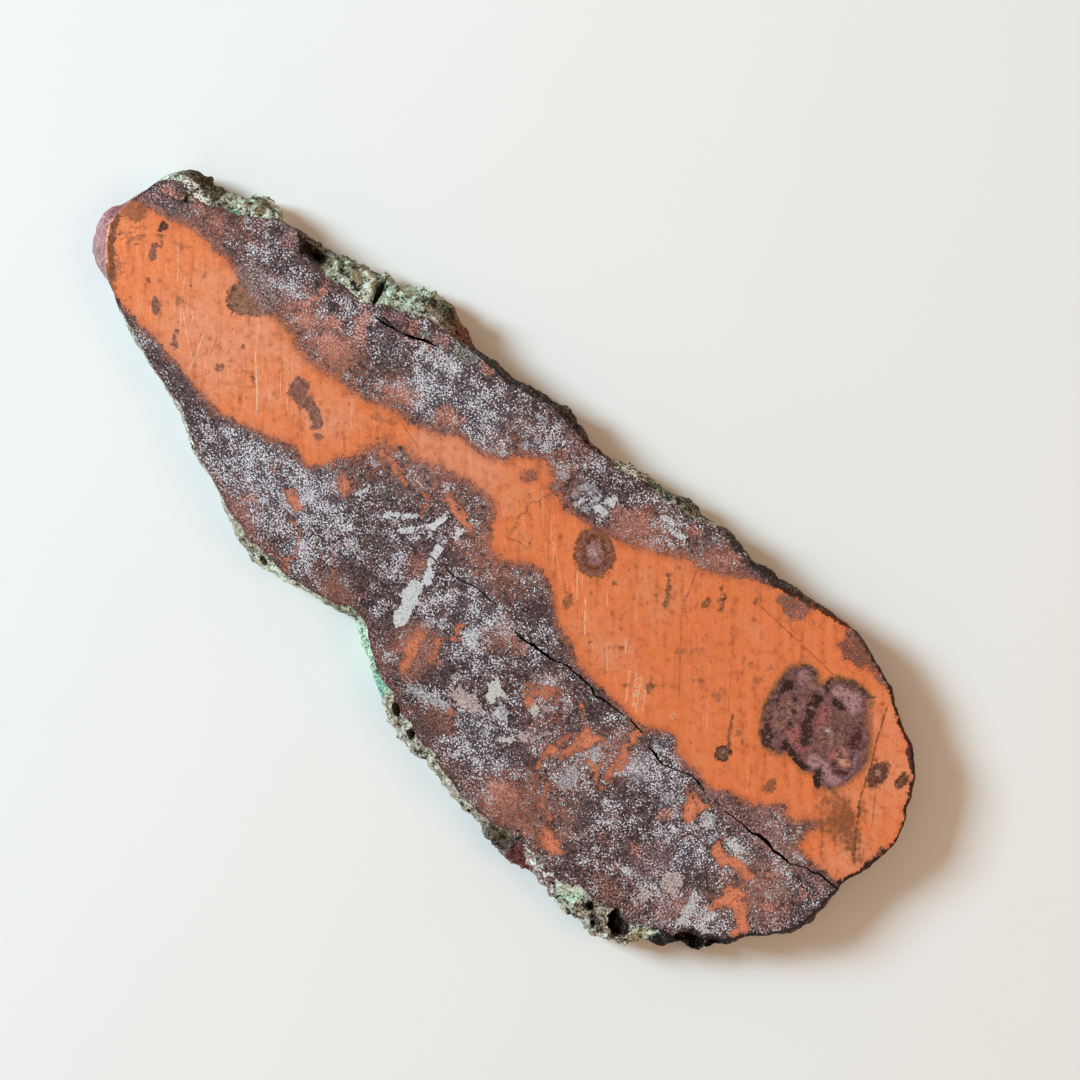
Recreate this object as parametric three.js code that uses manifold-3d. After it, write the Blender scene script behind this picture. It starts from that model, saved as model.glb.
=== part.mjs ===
// A sawn slab of native copper in basalt: a long nugget cut through twice, so that it has two
// flat faces and its own rough rim all round. Units are millimetres. The slab lies on its
// underside, +Z points out of the polished face and +X runs along it to the wide end.

import * as THREE from "three";
import { mergeVertices } from "three/addons/utils/BufferGeometryUtils.js";
import { ImprovedNoise } from "three/addons/math/ImprovedNoise.js";
import Module from "manifold-3d";

// Driving dimensions
const THICKNESS = 9.0;
const RIM_SAMPLES = 330; // points round each ring of the rim
const RING_HEIGHTS = [0, 0.18, 0.38, 0.58, 0.76, 0.9, 1]; // shares of the thickness
const NORMAL_SPREAD = 6; // samples each way that an outward direction is averaged over
const MARK_TO_MIDDLE = [1.16, 0.1]; // from the mark that the outlines are drawn from to the middle

// The rim, counterclockwise from the narrow tip: x and y of the polished face's edge, and how far
// the rough outside stands out beyond that edge lower down.
const RIM = [
  // the narrow tip and the side with the thin pale skin
  [-85.2, 1.2, 2.1], [-84.9, -0.9, 2.3], [-83.9, -3.1, 2.3], [-82.3, -5.2, 1.9], [-80.2, -7.0, 1.2],
  [-77.8, -8.4, 0.8], [-75.2, -9.7, 0.7], [-73.2, -10.7, 0.6], [-70.6, -11.7, 1.0], [-68.6, -12.6, 0.9],
  [-65.2, -13.6, 0.5], [-61.5, -14.6, 0.5], [-58.0, -15.4, 0.7], [-54.2, -15.9, 1.0], [-52.0, -16.7, 1.2],
  [-50.2, -18.0, 1.2], [-48.6, -19.4, 1.0], [-46.0, -20.1, 1.0], [-43.0, -20.9, 0.9], [-40.6, -22.0, 0.7],
  [-38.4, -22.6, 0.8], [-36.2, -23.5, 1.3], [-33.4, -24.0, 1.5], [-31.0, -24.6, 2.1], [-28.0, -25.1, 2.2],
  [-25.0, -24.9, 2.3], [-22.5, -25.2, 1.5], [-20.4, -25.4, 1.1], [-18.4, -24.6, 0.9], [-15.5, -24.4, 0.5],
  [-12.2, -23.9, 0.5], [-10.4, -22.9, 0.9], [-8.6, -21.7, 1.2],
  // the waist, and the broken edge with hollows beyond it
  [-6.4, -21.2, 1.5], [-4.6, -21.8, 1.5], [-2.4, -23.2, 1.6], [0.4, -25.0, 1.6], [3.2, -26.8, 1.4],
  [5.2, -27.8, 1.8], [6.8, -27.3, 3.0], [8.4, -27.8, 3.2], [10.2, -28.8, 2.9], [11.5, -29.3, 2.8],
  [12.6, -28.7, 3.3], [14.2, -29.3, 3.3], [15.6, -30.0, 2.7], [18.0, -30.0, 2.4], [20.2, -31.0, 1.7],
  [23.0, -31.5, 1.6], [26.0, -32.0, 1.6], [29.0, -32.7, 1.8], [32.0, -32.6, 1.5], [34.6, -32.7, 1.8],
  [37.0, -31.9, 3.0], [40.0, -31.3, 4.1], [42.0, -30.6, 4.1], [44.2, -30.6, 3.7], [47.0, -31.0, 3.5],
  [50.0, -31.8, 2.8], [51.8, -31.0, 3.6], [53.0, -29.9, 4.9], [54.6, -30.0, 5.3], [56.4, -29.6, 5.8],
  [58.2, -30.2, 4.7], [60.0, -29.0, 5.6], [62.2, -28.4, 5.6], [64.2, -28.6, 4.9], [65.8, -27.4, 5.2],
  [67.6, -26.9, 3.4], [69.4, -25.4, 3.0], [71.2, -24.3, 2.6], [72.7, -23.3, 2.6], [74.0, -22.2, 3.0],
  [75.6, -21.4, 2.8], [76.8, -20.3, 3.0], [78.6, -19.9, 1.7],
  // the wide end, where the metal itself reaches the edge
  [80.0, -18.8, 1.0], [81.0, -17.2, 0.6], [83.2, -14.5, 0.5], [85.0, -12.1, 0.6], [86.3, -10.3, 0.6],
  [86.9, -8.4, 1.0], [87.5, -6.4, 0.8], [87.4, -4.4, 0.6], [87.2, -2.0, 0.9], [87.5, -0.3, 0.9],
  [87.0, 1.0, 0.3], [87.3, 2.7, 0.2], [88.0, 4.4, 0.4], [88.6, 7.0, 0.5], [89.0, 9.6, 0.4],
  [89.4, 12.6, 0.2], [88.6, 14.8, 0.3], [88.1, 17.2, 0.2], [86.7, 18.6, 0.3], [86.1, 20.4, 0.3],
  [84.8, 22.2, 0.3], [83.8, 24.0, 0.3], [82.0, 25.5, 0.3], [80.2, 26.8, 0.3], [78.8, 28.0, 0.2],
  [76.3, 28.6, 0.3], [74.4, 29.8, 0.3], [71.8, 31.1, 0.3], [70.2, 32.2, 0.3], [67.8, 32.8, 0.3],
  [66.4, 33.6, 0.3], [63.0, 34.5, 0.3], [60.0, 35.2, 0.3], [57.4, 35.3, 0.3], [54.5, 34.8, 0.3],
  // the long dark side
  [51.5, 34.1, 0.6], [48.0, 33.3, 0.9], [45.2, 32.9, 1.0], [42.5, 32.0, 1.1], [40.6, 31.7, 1.6],
  [38.4, 31.5, 1.1], [36.0, 31.9, 0.8], [33.6, 32.1, 1.0], [31.0, 32.3, 1.2], [29.0, 31.6, 1.1],
  [26.4, 31.2, 1.0], [24.4, 30.0, 2.2], [22.0, 30.0, 2.3], [19.8, 29.6, 1.8], [16.5, 28.9, 1.8],
  [13.2, 28.8, 1.7], [10.8, 28.2, 2.0], [9.0, 27.4, 1.8], [6.0, 27.3, 0.9], [3.0, 27.2, 1.2],
  [0.0, 27.6, 1.2], [-2.4, 27.4, 1.6], [-4.6, 27.7, 2.1], [-7.0, 27.4, 1.8], [-10.0, 27.0, 1.5],
  [-12.4, 26.7, 1.2], [-14.8, 26.1, 1.1], [-17.5, 26.0, 0.9], [-20.2, 26.2, 0.8], [-22.6, 25.8, 0.6],
  // the big green lumps and the crust round to the tip
  [-25.0, 25.3, 1.6], [-27.4, 25.0, 3.0], [-29.8, 24.8, 3.5], [-32.2, 24.2, 4.6], [-34.8, 23.2, 4.6],
  [-37.2, 22.2, 4.3], [-39.4, 21.1, 4.4], [-41.4, 19.8, 5.0], [-43.0, 18.7, 5.9], [-45.6, 18.3, 5.9],
  [-48.4, 18.0, 6.0], [-50.4, 17.5, 5.6], [-52.2, 17.3, 4.4], [-54.6, 17.5, 3.5], [-57.0, 17.5, 3.3],
  [-58.6, 18.5, 2.2], [-60.0, 19.8, 0.8], [-61.4, 19.8, 0.5], [-63.4, 18.9, 1.2], [-65.6, 17.6, 3.2],
  [-67.6, 16.2, 4.3], [-69.6, 14.6, 4.9], [-71.6, 13.6, 4.6], [-73.6, 13.1, 3.6], [-75.6, 12.2, 4.3],
  [-78.0, 11.9, 4.6], [-80.6, 12.1, 3.4], [-82.4, 11.2, 2.8], [-83.8, 9.8, 1.2], [-84.3, 8.0, 0.6],
  [-84.4, 6.0, 0.9], [-84.8, 3.8, 1.4],
];

// Hollows in the rim: the middle of each at x, y and z, its half sizes, and its turn in degrees
const HOLLOWS = [
  { at: [-55.3, 19.3, 8.2], half: [2.7, 1.1, 4.2], turn: 8 }, // between the face and a lump
  { at: [-42.6, 22.2, 7.6], half: [0.55, 3.0, 2.6], turn: 22 }, // the gap between two lumps
  { at: [-25.4, -26.2, 8.4], half: [1.2, 0.7, 3.6], turn: -20 },
  { at: [-48.0, -20.3, 8.6], half: [0.8, 0.6, 2.2], turn: -30 },
  { at: [9.4, -29.3, 7.6], half: [1.5, 0.75, 3.6], turn: -34 },
  { at: [14.2, -30.6, 7.2], half: [1.2, 0.85, 3.4], turn: -48 },
  { at: [57.6, -31.3, 7.6], half: [0.9, 0.7, 3.0], turn: -50 },
  { at: [59.9, -33.0, 6.4], half: [0.95, 0.75, 2.6], turn: -12 },
  { at: [62.9, -30.2, 6.6], half: [2.2, 1.25, 4.2], turn: -34 },
  { at: [74.0, -24.6, 5.6], half: [2.9, 1.35, 3.6], turn: 36 },
  { at: [78.0, -21.5, 5.8], half: [1.4, 0.7, 3.0], turn: 34 },
];

// Cracks that open on the polished face: points along each, its width at the middle and its depth
const CRACKS = [
  { depth: 2.2, width: 0.55, line: [[-39.9, 18.4], [-38.2, 18.5], [-36.6, 19.0], [-34.9, 19.4]] },
  { depth: 2.2, width: 0.55, line: [[-33.0, 20.0], [-31.6, 20.8], [-30.4, 21.4], [-28.8, 21.8]] },
  {
    depth: 2.4,
    width: 0.45,
    line: [[15.2, -5.1], [17.2, -5.3], [18.8, -4.8], [21.0, -4.7], [23.6, -4.3], [25.3, -3.4], [28.0, -3.3],
      [31.4, -3.2], [33.3, -3.8], [35.4, -3.3], [38.6, -3.0]],
  },
  { depth: 1.8, width: 0.35, line: [[46.2, -4.0], [48.0, -4.2], [50.4, -4.5]] },
  { depth: 1.8, width: 0.35, line: [[54.8, -2.4], [56.6, -2.6], [58.6, -3.0], [60.2, -2.7]] },
  {
    depth: 2.6,
    width: 0.6,
    line: [[66.2, -2.6], [69.0, -2.7], [71.2, -2.3], [74.0, -2.3], [76.6, -2.1], [79.2, -1.9]],
  },
  { depth: 2.2, width: 0.45, line: [[80.6, -0.7], [82.2, -0.4], [83.4, 0.1], [85.2, 0.2], [86.4, 0.0]] },
];

// How far out the rim stands at a share of the height: nothing at the polished face, the whole
// reach a little below half height, and a part of it at the underside.
const bulge = (share) => Math.sin(Math.PI * 0.72 * Math.pow(1 - share, 0.62));

// Points at even lengths along the closed curve through the rim's stations, each with its reach
function sampleRim() {
  const stations = RIM.map(
    ([x, y, reach]) => new THREE.Vector3(x - MARK_TO_MIDDLE[0], y - MARK_TO_MIDDLE[1], reach),
  );
  const curve = new THREE.CatmullRomCurve3(stations, true, "centripetal");
  curve.arcLengthDivisions = RIM_SAMPLES * 6;
  return curve.getSpacedPoints(RIM_SAMPLES).slice(0, RIM_SAMPLES);
}

// The outward direction at each sample, averaged over its neighbours so that rings don't cross
function outwardDirections(points) {
  const at = (i) => points[(i + points.length) % points.length];
  return points.map((_, i) => {
    const along = new THREE.Vector2();
    for (let k = 1; k <= NORMAL_SPREAD; k++) {
      along.x += at(i + k).x - at(i - k).x;
      along.y += at(i + k).y - at(i - k).y;
    }
    return new THREE.Vector2(along.y, -along.x).normalize();
  });
}

// Bumps of the rough outside, in millimetres: large lumps where it stands far out, small ones all over
const noise = new ImprovedNoise();
const LUMP_SIZE = 3.4;
const GRAIN_SIZE = 1.5;
function roughness(x, y, z, reach) {
  const lumps = noise.noise(x / LUMP_SIZE, y / LUMP_SIZE, z / LUMP_SIZE + 7.3);
  const grains = noise.noise(x / GRAIN_SIZE, y / GRAIN_SIZE, z / GRAIN_SIZE + 31.7);
  return lumps * (0.25 + 0.22 * Math.min(reach, 5)) + grains * (0.12 + 0.08 * Math.min(reach, 3));
}

// The slab before its hollows and cracks: rings of the rim from the underside up, closed by two flat faces
function slabGeometry() {
  const edge = sampleRim();
  const outward = outwardDirections(edge);
  const vertices = [];
  for (const share of RING_HEIGHTS) {
    const z = share * THICKNESS;
    const belowFace = Math.min(1, (1 - share) * 5); // the polished face's edge stays where it is drawn
    edge.forEach((p, i) => {
      const out = p.z * bulge(share) + belowFace * roughness(p.x, p.y, z, p.z);
      vertices.push(p.x + outward[i].x * out, p.y + outward[i].y * out, z);
    });
  }
  const faces = [];
  const ring = (k, i) => k * RIM_SAMPLES + (i % RIM_SAMPLES);
  for (let k = 0; k < RING_HEIGHTS.length - 1; k++) {
    for (let i = 0; i < RIM_SAMPLES; i++) {
      faces.push(ring(k, i), ring(k, i + 1), ring(k + 1, i + 1));
      faces.push(ring(k, i), ring(k + 1, i + 1), ring(k + 1, i));
    }
  }
  const top = RING_HEIGHTS.length - 1;
  const cornerAt = (k, i) => new THREE.Vector2(vertices[ring(k, i) * 3], vertices[ring(k, i) * 3 + 1]);
  const outline = (k) => edge.map((_, i) => cornerAt(k, i));
  for (const [a, b, c] of THREE.ShapeUtils.triangulateShape(outline(top), []))
    faces.push(ring(top, a), ring(top, b), ring(top, c));
  for (const [a, b, c] of THREE.ShapeUtils.triangulateShape(outline(0), []))
    faces.push(ring(0, a), ring(0, c), ring(0, b));
  return new THREE.BufferGeometry()
    .setAttribute("position", new THREE.Float32BufferAttribute(vertices, 3))
    .setIndex(faces);
}

// A hollow is a low-faceted ball, stretched to its half sizes and turned about Z
function hollowGeometry({ at, half, turn }) {
  return new THREE.IcosahedronGeometry(1, 2)
    .scale(...half)
    .rotateZ(THREE.MathUtils.degToRad(turn))
    .translate(at[0] - MARK_TO_MIDDLE[0], at[1] - MARK_TO_MIDDLE[1], at[2]);
}

// A crack is a sliver that is widest at its middle and sharp at its ends, cut straight down
function crackGeometry({ depth, width, line }) {
  const points = line.map(([x, y]) => new THREE.Vector2(x - MARK_TO_MIDDLE[0], y - MARK_TO_MIDDLE[1]));
  const route = new THREE.SplineCurve(points);
  const steps = line.length * 3;
  const sides = [[], []];
  for (let i = 1; i < steps; i++) {
    const u = i / steps;
    const p = route.getPoint(u);
    const t = route.getTangent(u);
    const half = (width / 2) * Math.sqrt(Math.sin(Math.PI * u));
    sides[0].push(new THREE.Vector2(p.x - t.y * half, p.y + t.x * half));
    sides[1].push(new THREE.Vector2(p.x + t.y * half, p.y - t.x * half));
  }
  const sliver = new THREE.Shape([route.getPoint(0), ...sides[1], route.getPoint(1), ...sides[0].reverse()]);
  const cutter = new THREE.ExtrudeGeometry(sliver, { depth: depth + 1, bevelEnabled: false });
  return cutter.translate(0, 0, THICKNESS - depth);
}

const wasm = await Module();
wasm.setup();

function toSolid(geometry) {
  const bare = geometry.clone();
  bare.deleteAttribute("normal");
  bare.deleteAttribute("uv");
  const merged = mergeVertices(bare, 1e-4);
  return new wasm.Manifold(
    new wasm.Mesh({
      numProp: 3,
      vertProperties: new Float32Array(merged.attributes.position.array),
      triVerts: new Uint32Array(merged.index.array),
    }),
  );
}

function toGeometry(solid) {
  const mesh = solid.getMesh();
  const geometry = new THREE.BufferGeometry()
    .setAttribute("position", new THREE.BufferAttribute(new Float32Array(mesh.vertProperties), 3))
    .setIndex(new THREE.BufferAttribute(new Uint32Array(mesh.triVerts), 1));
  const flat = geometry.toNonIndexed();
  flat.computeVertexNormals();
  return flat;
}

let slab = toSolid(slabGeometry());
for (const hollow of HOLLOWS) slab = slab.subtract(toSolid(hollowGeometry(hollow)));
for (const crack of CRACKS) slab = slab.subtract(toSolid(crackGeometry(crack)));
// A hollow can cut a crumb off the rim: only the slab itself is kept
slab = slab.decompose().reduce((a, b) => (b.volume() > a.volume() ? b : a));

const nativeCopper = new THREE.MeshStandardMaterial({ color: 0xc4714c, roughness: 0.45, metalness: 0.6 });
const slabMesh = new THREE.Mesh(toGeometry(slab), nativeCopper);
slabMesh.name = "copper_slab";

const part = new THREE.Group();
part.add(slabMesh);
export default part;
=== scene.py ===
import math

import bpy
import numpy as np
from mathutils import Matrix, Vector, noise


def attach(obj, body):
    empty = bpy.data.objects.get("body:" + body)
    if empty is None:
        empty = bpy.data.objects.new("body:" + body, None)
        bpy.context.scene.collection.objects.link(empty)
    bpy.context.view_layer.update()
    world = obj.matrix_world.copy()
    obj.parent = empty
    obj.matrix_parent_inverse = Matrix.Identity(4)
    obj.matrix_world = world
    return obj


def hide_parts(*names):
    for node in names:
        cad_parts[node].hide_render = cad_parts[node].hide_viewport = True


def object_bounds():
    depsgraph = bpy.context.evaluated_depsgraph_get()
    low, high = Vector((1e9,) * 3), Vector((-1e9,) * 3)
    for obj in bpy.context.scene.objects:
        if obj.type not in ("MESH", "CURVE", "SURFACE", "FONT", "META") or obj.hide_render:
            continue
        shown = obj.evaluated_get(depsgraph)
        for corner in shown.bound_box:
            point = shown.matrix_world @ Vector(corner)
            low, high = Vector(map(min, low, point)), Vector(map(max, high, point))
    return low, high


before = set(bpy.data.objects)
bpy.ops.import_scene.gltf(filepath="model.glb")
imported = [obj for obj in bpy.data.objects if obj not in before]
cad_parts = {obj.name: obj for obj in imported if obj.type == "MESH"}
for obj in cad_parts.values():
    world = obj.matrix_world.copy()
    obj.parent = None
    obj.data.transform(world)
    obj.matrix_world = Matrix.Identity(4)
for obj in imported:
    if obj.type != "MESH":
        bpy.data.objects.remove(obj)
cad_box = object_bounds()

# Sizes, in millimetres unless a comment says otherwise
MM = 0.001  # one millimetre in metres
THICKNESS = 9.0
MARK_TO_MIDDLE = (1.16, 0.1)  # from the mark that the outlines are drawn from to the middle
SAW_SPARE = 1.3  # how far the uncut nugget stands past each sawn face
SMOOTH_TIP = -80.0  # the outside is smoother past here, towards the narrow tip
TIP_SHARE = 0.4  # the share of the roughness that is left there
CREASE = 50  # the angle in degrees from which an edge is shaded sharp
FAR = 8.0  # how deep an outline is measured, inside and outside it
KEPT = 3.0  # how much of a distance is kept for the finer patterns
DRIFT = 6  # how far the minerals may drift sideways from the polished face to the underside
DRIFT_UP = 1.2  # and how far the drift goes towards the upper rim everywhere
RING_HEIGHTS = (0, 1, 2.2, 3.4, 4.6, 5.8, 6.9, 7.8, 8.5, 9)  # of the rings that the outside is shaped by
SAW_BLOCK = (184.0, 78.0, 30.0)  # the length, width and depth of the blocks that saw the nugget flat
RIM_STEPS = 440  # how many even steps go round the rim
CLAY_CELL = 0.42  # the size of the mesh's cells on the weathered outside
POLISHED_CELL = 0.43  # and on the polished face
UNDERSIDE_CELL = 1.2  # and on the underside
CRACK_STEP = 0.45  # how long the steps along a crack are
SAWN_WITHIN = 0.03  # a point this close to the top or the underside lies on a sawn face

# The rim, clockwise from the narrow tip: the edge of the polished face and the outermost skin
RIM = [
    (-84.9, -0.3, -87.9, -0.6), (-84.9, 1.4, -87.2, 1.5), (-84.8, 3, -86, 3.1), (-84.7, 4.4, -85.6, 4.9),
    (-84.6, 5.8, -85.2, 6.6), (-84.2, 7.4, -84.6, 8), (-84, 9, -84.4, 9.9), (-83.5, 10.1, -84.2, 11.2),
    (-82.6, 11, -83.7, 12.7), (-81.6, 11.8, -82.8, 14.1), (-80.6, 12.1, -81.5, 15.4),
    (-79.3, 11.9, -79.8, 16.1), (-77.8, 11.7, -77.4, 16.6), (-76.2, 11.9, -75.8, 16.3),
    (-74.8, 12.4, -74.4, 16.4), (-73.4, 13.1, -73, 17.4), (-72.2, 13.6, -72.2, 18.4),
    (-71, 13.8, -70.9, 19), (-69.9, 14.3, -69.8, 19.9), (-68.9, 14.8, -68.5, 20.2),
    (-68.1, 15.6, -67.2, 20.8), (-67.2, 16.5, -65.9, 21), (-66.1, 17.3, -64.8, 20.7),
    (-64.9, 18.2, -63.9, 20.1), (-63.5, 18.9, -62.6, 19.8), (-62.2, 19.4, -61.4, 20.2),
    (-60.6, 20.1, -60.2, 20.6), (-59.3, 19.6, -59.2, 20.7), (-58.6, 18.4, -58, 20.7),
    (-57.6, 17.4, -56.6, 20.9), (-56.2, 17.5, -55.4, 21.1), (-54.8, 17.7, -54, 21.1),
    (-53.4, 17.5, -52.6, 21.1), (-52.2, 17.3, -51.9, 22.3), (-51, 17.5, -50.7, 22.9),
    (-49.6, 17.9, -49.3, 23.8), (-48, 18.2, -47.6, 24.2), (-46.2, 18.2, -45.6, 24.2),
    (-44.4, 18.3, -43.9, 24.8), (-42.8, 18.7, -42.5, 25.3), (-41.6, 19.8, -41, 25.2),
    (-40.4, 20.4, -39.6, 26), (-39.1, 20.9, -38, 26.5), (-38, 21.8, -36.6, 27.4),
    (-36.6, 22.6, -35.2, 27.8), (-35.1, 23.2, -34.2, 28.5), (-33.6, 23.8, -32.8, 28.9),
    (-32.2, 24.4, -31.5, 29), (-30.9, 24.3, -30.3, 28.7), (-29.6, 24.8, -29.4, 28), (-28.2, 25, -27.8, 28),
    (-26.8, 24.8, -26.3, 27.5), (-25.4, 25.2, -25.2, 26.9), (-24, 25.6, -23.8, 26.5),
    (-22.4, 25.8, -22.2, 26.5), (-20.8, 26.1, -20.6, 26.7), (-19.4, 26, -19.6, 27.1),
    (-17.5, 26, -17.6, 27), (-15.4, 25.9, -15.6, 27), (-13.6, 26.5, -13.7, 27.5),
    (-11.8, 26.9, -11.7, 28.2), (-9.8, 27.1, -9.8, 28.7), (-8, 27.5, -8, 29), (-6.2, 27.7, -6.4, 29.3),
    (-4.6, 27.8, -4.9, 29.8), (-3, 27.6, -3.3, 29.7), (-1.4, 27.4, -1.7, 28.7), (0.6, 27.3, 0.2, 28.8),
    (2.4, 26.7, 2.2, 28.4), (4.4, 27.3, 4.4, 28.2), (6.3, 27.7, 6.4, 28.3), (8, 27, 7.8, 28.5),
    (9.4, 27.3, 8.9, 29.3), (10.5, 28.2, 10.1, 30.2), (12, 28.8, 11.8, 30.5), (14.2, 28.9, 14, 30.6),
    (16.4, 29, 16.2, 30.8), (18.4, 29.3, 18.2, 31.2), (20.4, 29.9, 20.1, 31.7), (22.2, 30.1, 22.2, 32.3),
    (24, 29.5, 24, 32.2), (25.2, 30.4, 25.4, 32), (26.6, 31.4, 26.8, 32.4), (28.6, 31.6, 28.7, 32.6),
    (30.4, 32.3, 30.3, 33.2), (32, 32.1, 32, 33.3), (34, 31.6, 34, 32.9), (36, 31.9, 36, 32.6),
    (37.8, 31.5, 37.6, 32.1), (39.8, 31.6, 39.6, 32.8), (41.6, 31.6, 41.2, 33.3), (43.4, 31.9, 42.9, 32.9),
    (45.4, 32.4, 45.4, 33.9), (47.6, 33.1, 47.6, 34.1), (50, 33.6, 50, 34.6), (52.5, 34.2, 52.5, 34.9),
    (55, 34.9, 55, 35.3), (57.5, 35.3, 57.5, 35.6), (60, 35.2, 60.1, 35.5), (62.3, 34.6, 62.4, 34.9),
    (64.6, 33.9, 64.7, 34.2), (66.7, 33.4, 66.9, 33.7), (68.2, 32.7, 68.4, 33), (70.3, 32.2, 70.5, 32.5),
    (71.7, 31.1, 72, 31.4), (73.4, 30.1, 73.7, 30.4), (75.2, 29.1, 75.5, 29.4), (77.4, 28.1, 77.6, 28.5),
    (79.4, 27.5, 79.6, 27.9), (80.8, 26.4, 81.1, 26.7), (82.4, 25, 82.7, 25.3), (83.6, 24, 84, 24.3),
    (84.3, 22.5, 84.7, 22.8), (85.1, 21.1, 85.5, 21.3), (85.9, 20.2, 86.3, 20.4), (86, 18.9, 86.4, 19.1),
    (87.2, 17.9, 87.6, 18), (87.9, 16.4, 88.3, 16.4), (88.4, 14.8, 88.8, 14.9), (89, 13, 89.4, 13),
    (88.9, 11.4, 89.3, 11.4), (88.8, 9.8, 89.3, 9.7), (88.3, 8, 89.2, 7.9), (88.1, 6.4, 88.8, 6.3),
    (87.9, 4.8, 88.5, 4.6), (87.2, 3.2, 87.8, 3.1), (86.9, 1.7, 87.3, 1.7), (87.1, 0.4, 87.6, 0.4),
    (87.1, -0.8, 88.3, -0.5), (87, -2.2, 87.9, -2.1), (87, -3.8, 88, -3.8), (87, -5.4, 88, -5.4),
    (87, -7, 88.3, -7.1), (86.7, -8.6, 87.7, -8.7), (86.1, -10.2, 87.1, -10.3), (85.2, -11.8, 85.9, -11.8),
    (84.2, -12.9, 84.7, -12.9), (83.4, -14.1, 83.9, -14.2), (82.2, -15.2, 82.7, -15.5),
    (81.2, -16.3, 81.7, -16.8), (80.3, -17.3, 81, -18), (79.8, -18.6, 80.4, -19.3),
    (78.8, -19.6, 79.7, -20.7), (77.2, -20, 78.8, -21.8), (76.3, -20.7, 77.9, -22.8),
    (75.3, -21.7, 77, -24.2), (73.2, -21.9, 75.2, -25.1), (73.1, -23.4, 73.6, -25.8),
    (71.4, -23.8, 72.6, -26.8), (70.6, -25, 71.8, -27.9), (69.2, -25.5, 70.6, -28.8),
    (67.8, -26.5, 69.2, -29.5), (66.2, -27, 68.1, -30.6), (65.1, -28.2, 67.9, -32.4),
    (63.9, -28.7, 66.2, -33.4), (62.4, -28.1, 64.4, -34.1), (61.1, -28.1, 62.6, -35),
    (59.9, -28.8, 60.9, -35.3), (58.6, -29.9, 59.2, -35), (57.3, -30.6, 57.6, -35.1),
    (56, -29.8, 56.2, -35.8), (54.7, -29.9, 54.7, -35.5), (53.2, -30.2, 53.2, -34.9),
    (51.8, -31.2, 51.6, -34.7), (50.2, -31.9, 50, -34.6), (48.4, -31.4, 48.2, -34.3),
    (46.6, -30.8, 46.2, -34.1), (44.8, -30.4, 44.4, -34.7), (43, -30.8, 42.6, -34.9),
    (41.3, -30.5, 40.8, -35.6), (39.6, -31.1, 39, -35.5), (37.8, -31.6, 37.2, -35.2),
    (36, -32.2, 35.4, -34.9), (34, -32.4, 33.6, -34.4), (32, -32.7, 31.6, -34), (30.2, -32.5, 29.9, -34.4),
    (28.4, -32.5, 28.2, -34.1), (26.6, -32.1, 26.2, -33.8), (24.6, -31.5, 24.2, -33.7),
    (22.8, -31.5, 22.4, -33), (21, -31, 20.4, -32.9), (19.3, -30.1, 18.8, -32.3), (17.4, -30, 17.2, -32.8),
    (15.6, -30.5, 15.6, -33.1), (14.3, -29.7, 14.1, -32.7), (13, -28.6, 12.6, -32.2),
    (11.6, -29.1, 11, -32.2), (10.4, -29.1, 9.6, -31.7), (9, -28, 8.4, -30.8), (7.6, -27.4, 7, -30.2),
    (6.3, -27.2, 5.6, -29.4), (4.8, -27.3, 4, -28.6), (3, -26.4, 2.2, -27.7), (1.2, -25.6, 0.4, -26.8),
    (-0.6, -24.7, -1.4, -25.8), (-2.4, -23.4, -3, -24.9), (-3.9, -22.1, -4.6, -24), (-5.5, -21.5, -6, -23),
    (-7.2, -21.2, -7.3, -22.7), (-8.8, -21.4, -8.8, -23.3), (-10.4, -22.6, -10.6, -23.9),
    (-12.4, -23.4, -12.6, -24.5), (-14.6, -23.9, -14.8, -24.8), (-17, -24.3, -17.2, -25.3),
    (-19.2, -24.9, -19.4, -26.1), (-21.4, -25.2, -21.6, -26.7), (-23.6, -25, -23.8, -27.1),
    (-25.6, -24.7, -26, -27.4), (-27.6, -24.8, -28.2, -27.3), (-29.6, -25, -30.2, -26.9),
    (-31.2, -24.5, -31.9, -26.5), (-32.8, -23.9, -33.4, -25.5), (-34.6, -23.8, -35.1, -25),
    (-36.4, -23.5, -36.9, -24.5), (-38, -22.8, -38.4, -23.3), (-39.8, -22.3, -40.2, -22.6),
    (-41.6, -21.6, -41.9, -21.9), (-43.6, -20.9, -43.8, -21.5), (-45.6, -20.4, -45.8, -21.3),
    (-47.2, -19.6, -47.6, -20.8), (-48.7, -18.9, -49.2, -19.8), (-50.2, -18.2, -50.8, -19),
    (-51.6, -17.2, -52.2, -18.2), (-53.2, -16.2, -53.8, -17.2), (-55, -15.8, -55.4, -16.7),
    (-57, -15.8, -57.3, -16.2), (-59.2, -15.1, -59.5, -15.5), (-61.6, -14.7, -61.8, -15.1),
    (-64, -14, -64.2, -14.5), (-66.2, -13.2, -66.4, -13.8), (-68.4, -12.6, -68.6, -13.5),
    (-70.2, -12, -70.6, -12.8), (-72.2, -11.2, -72.4, -11.6), (-74.2, -10.7, -74.5, -11.2),
    (-76.2, -9.7, -76.4, -10), (-78.4, -8.7, -78.6, -9.1), (-80.1, -7.3, -81, -8.6),
    (-80.9, -6.2, -82.8, -8.1), (-82, -5, -84.4, -7.2), (-83.2, -3.7, -85.6, -5.9),
    (-84.2, -2.2, -87, -4.1), (-84.7, -1.2, -87.8, -2.2),
]

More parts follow.
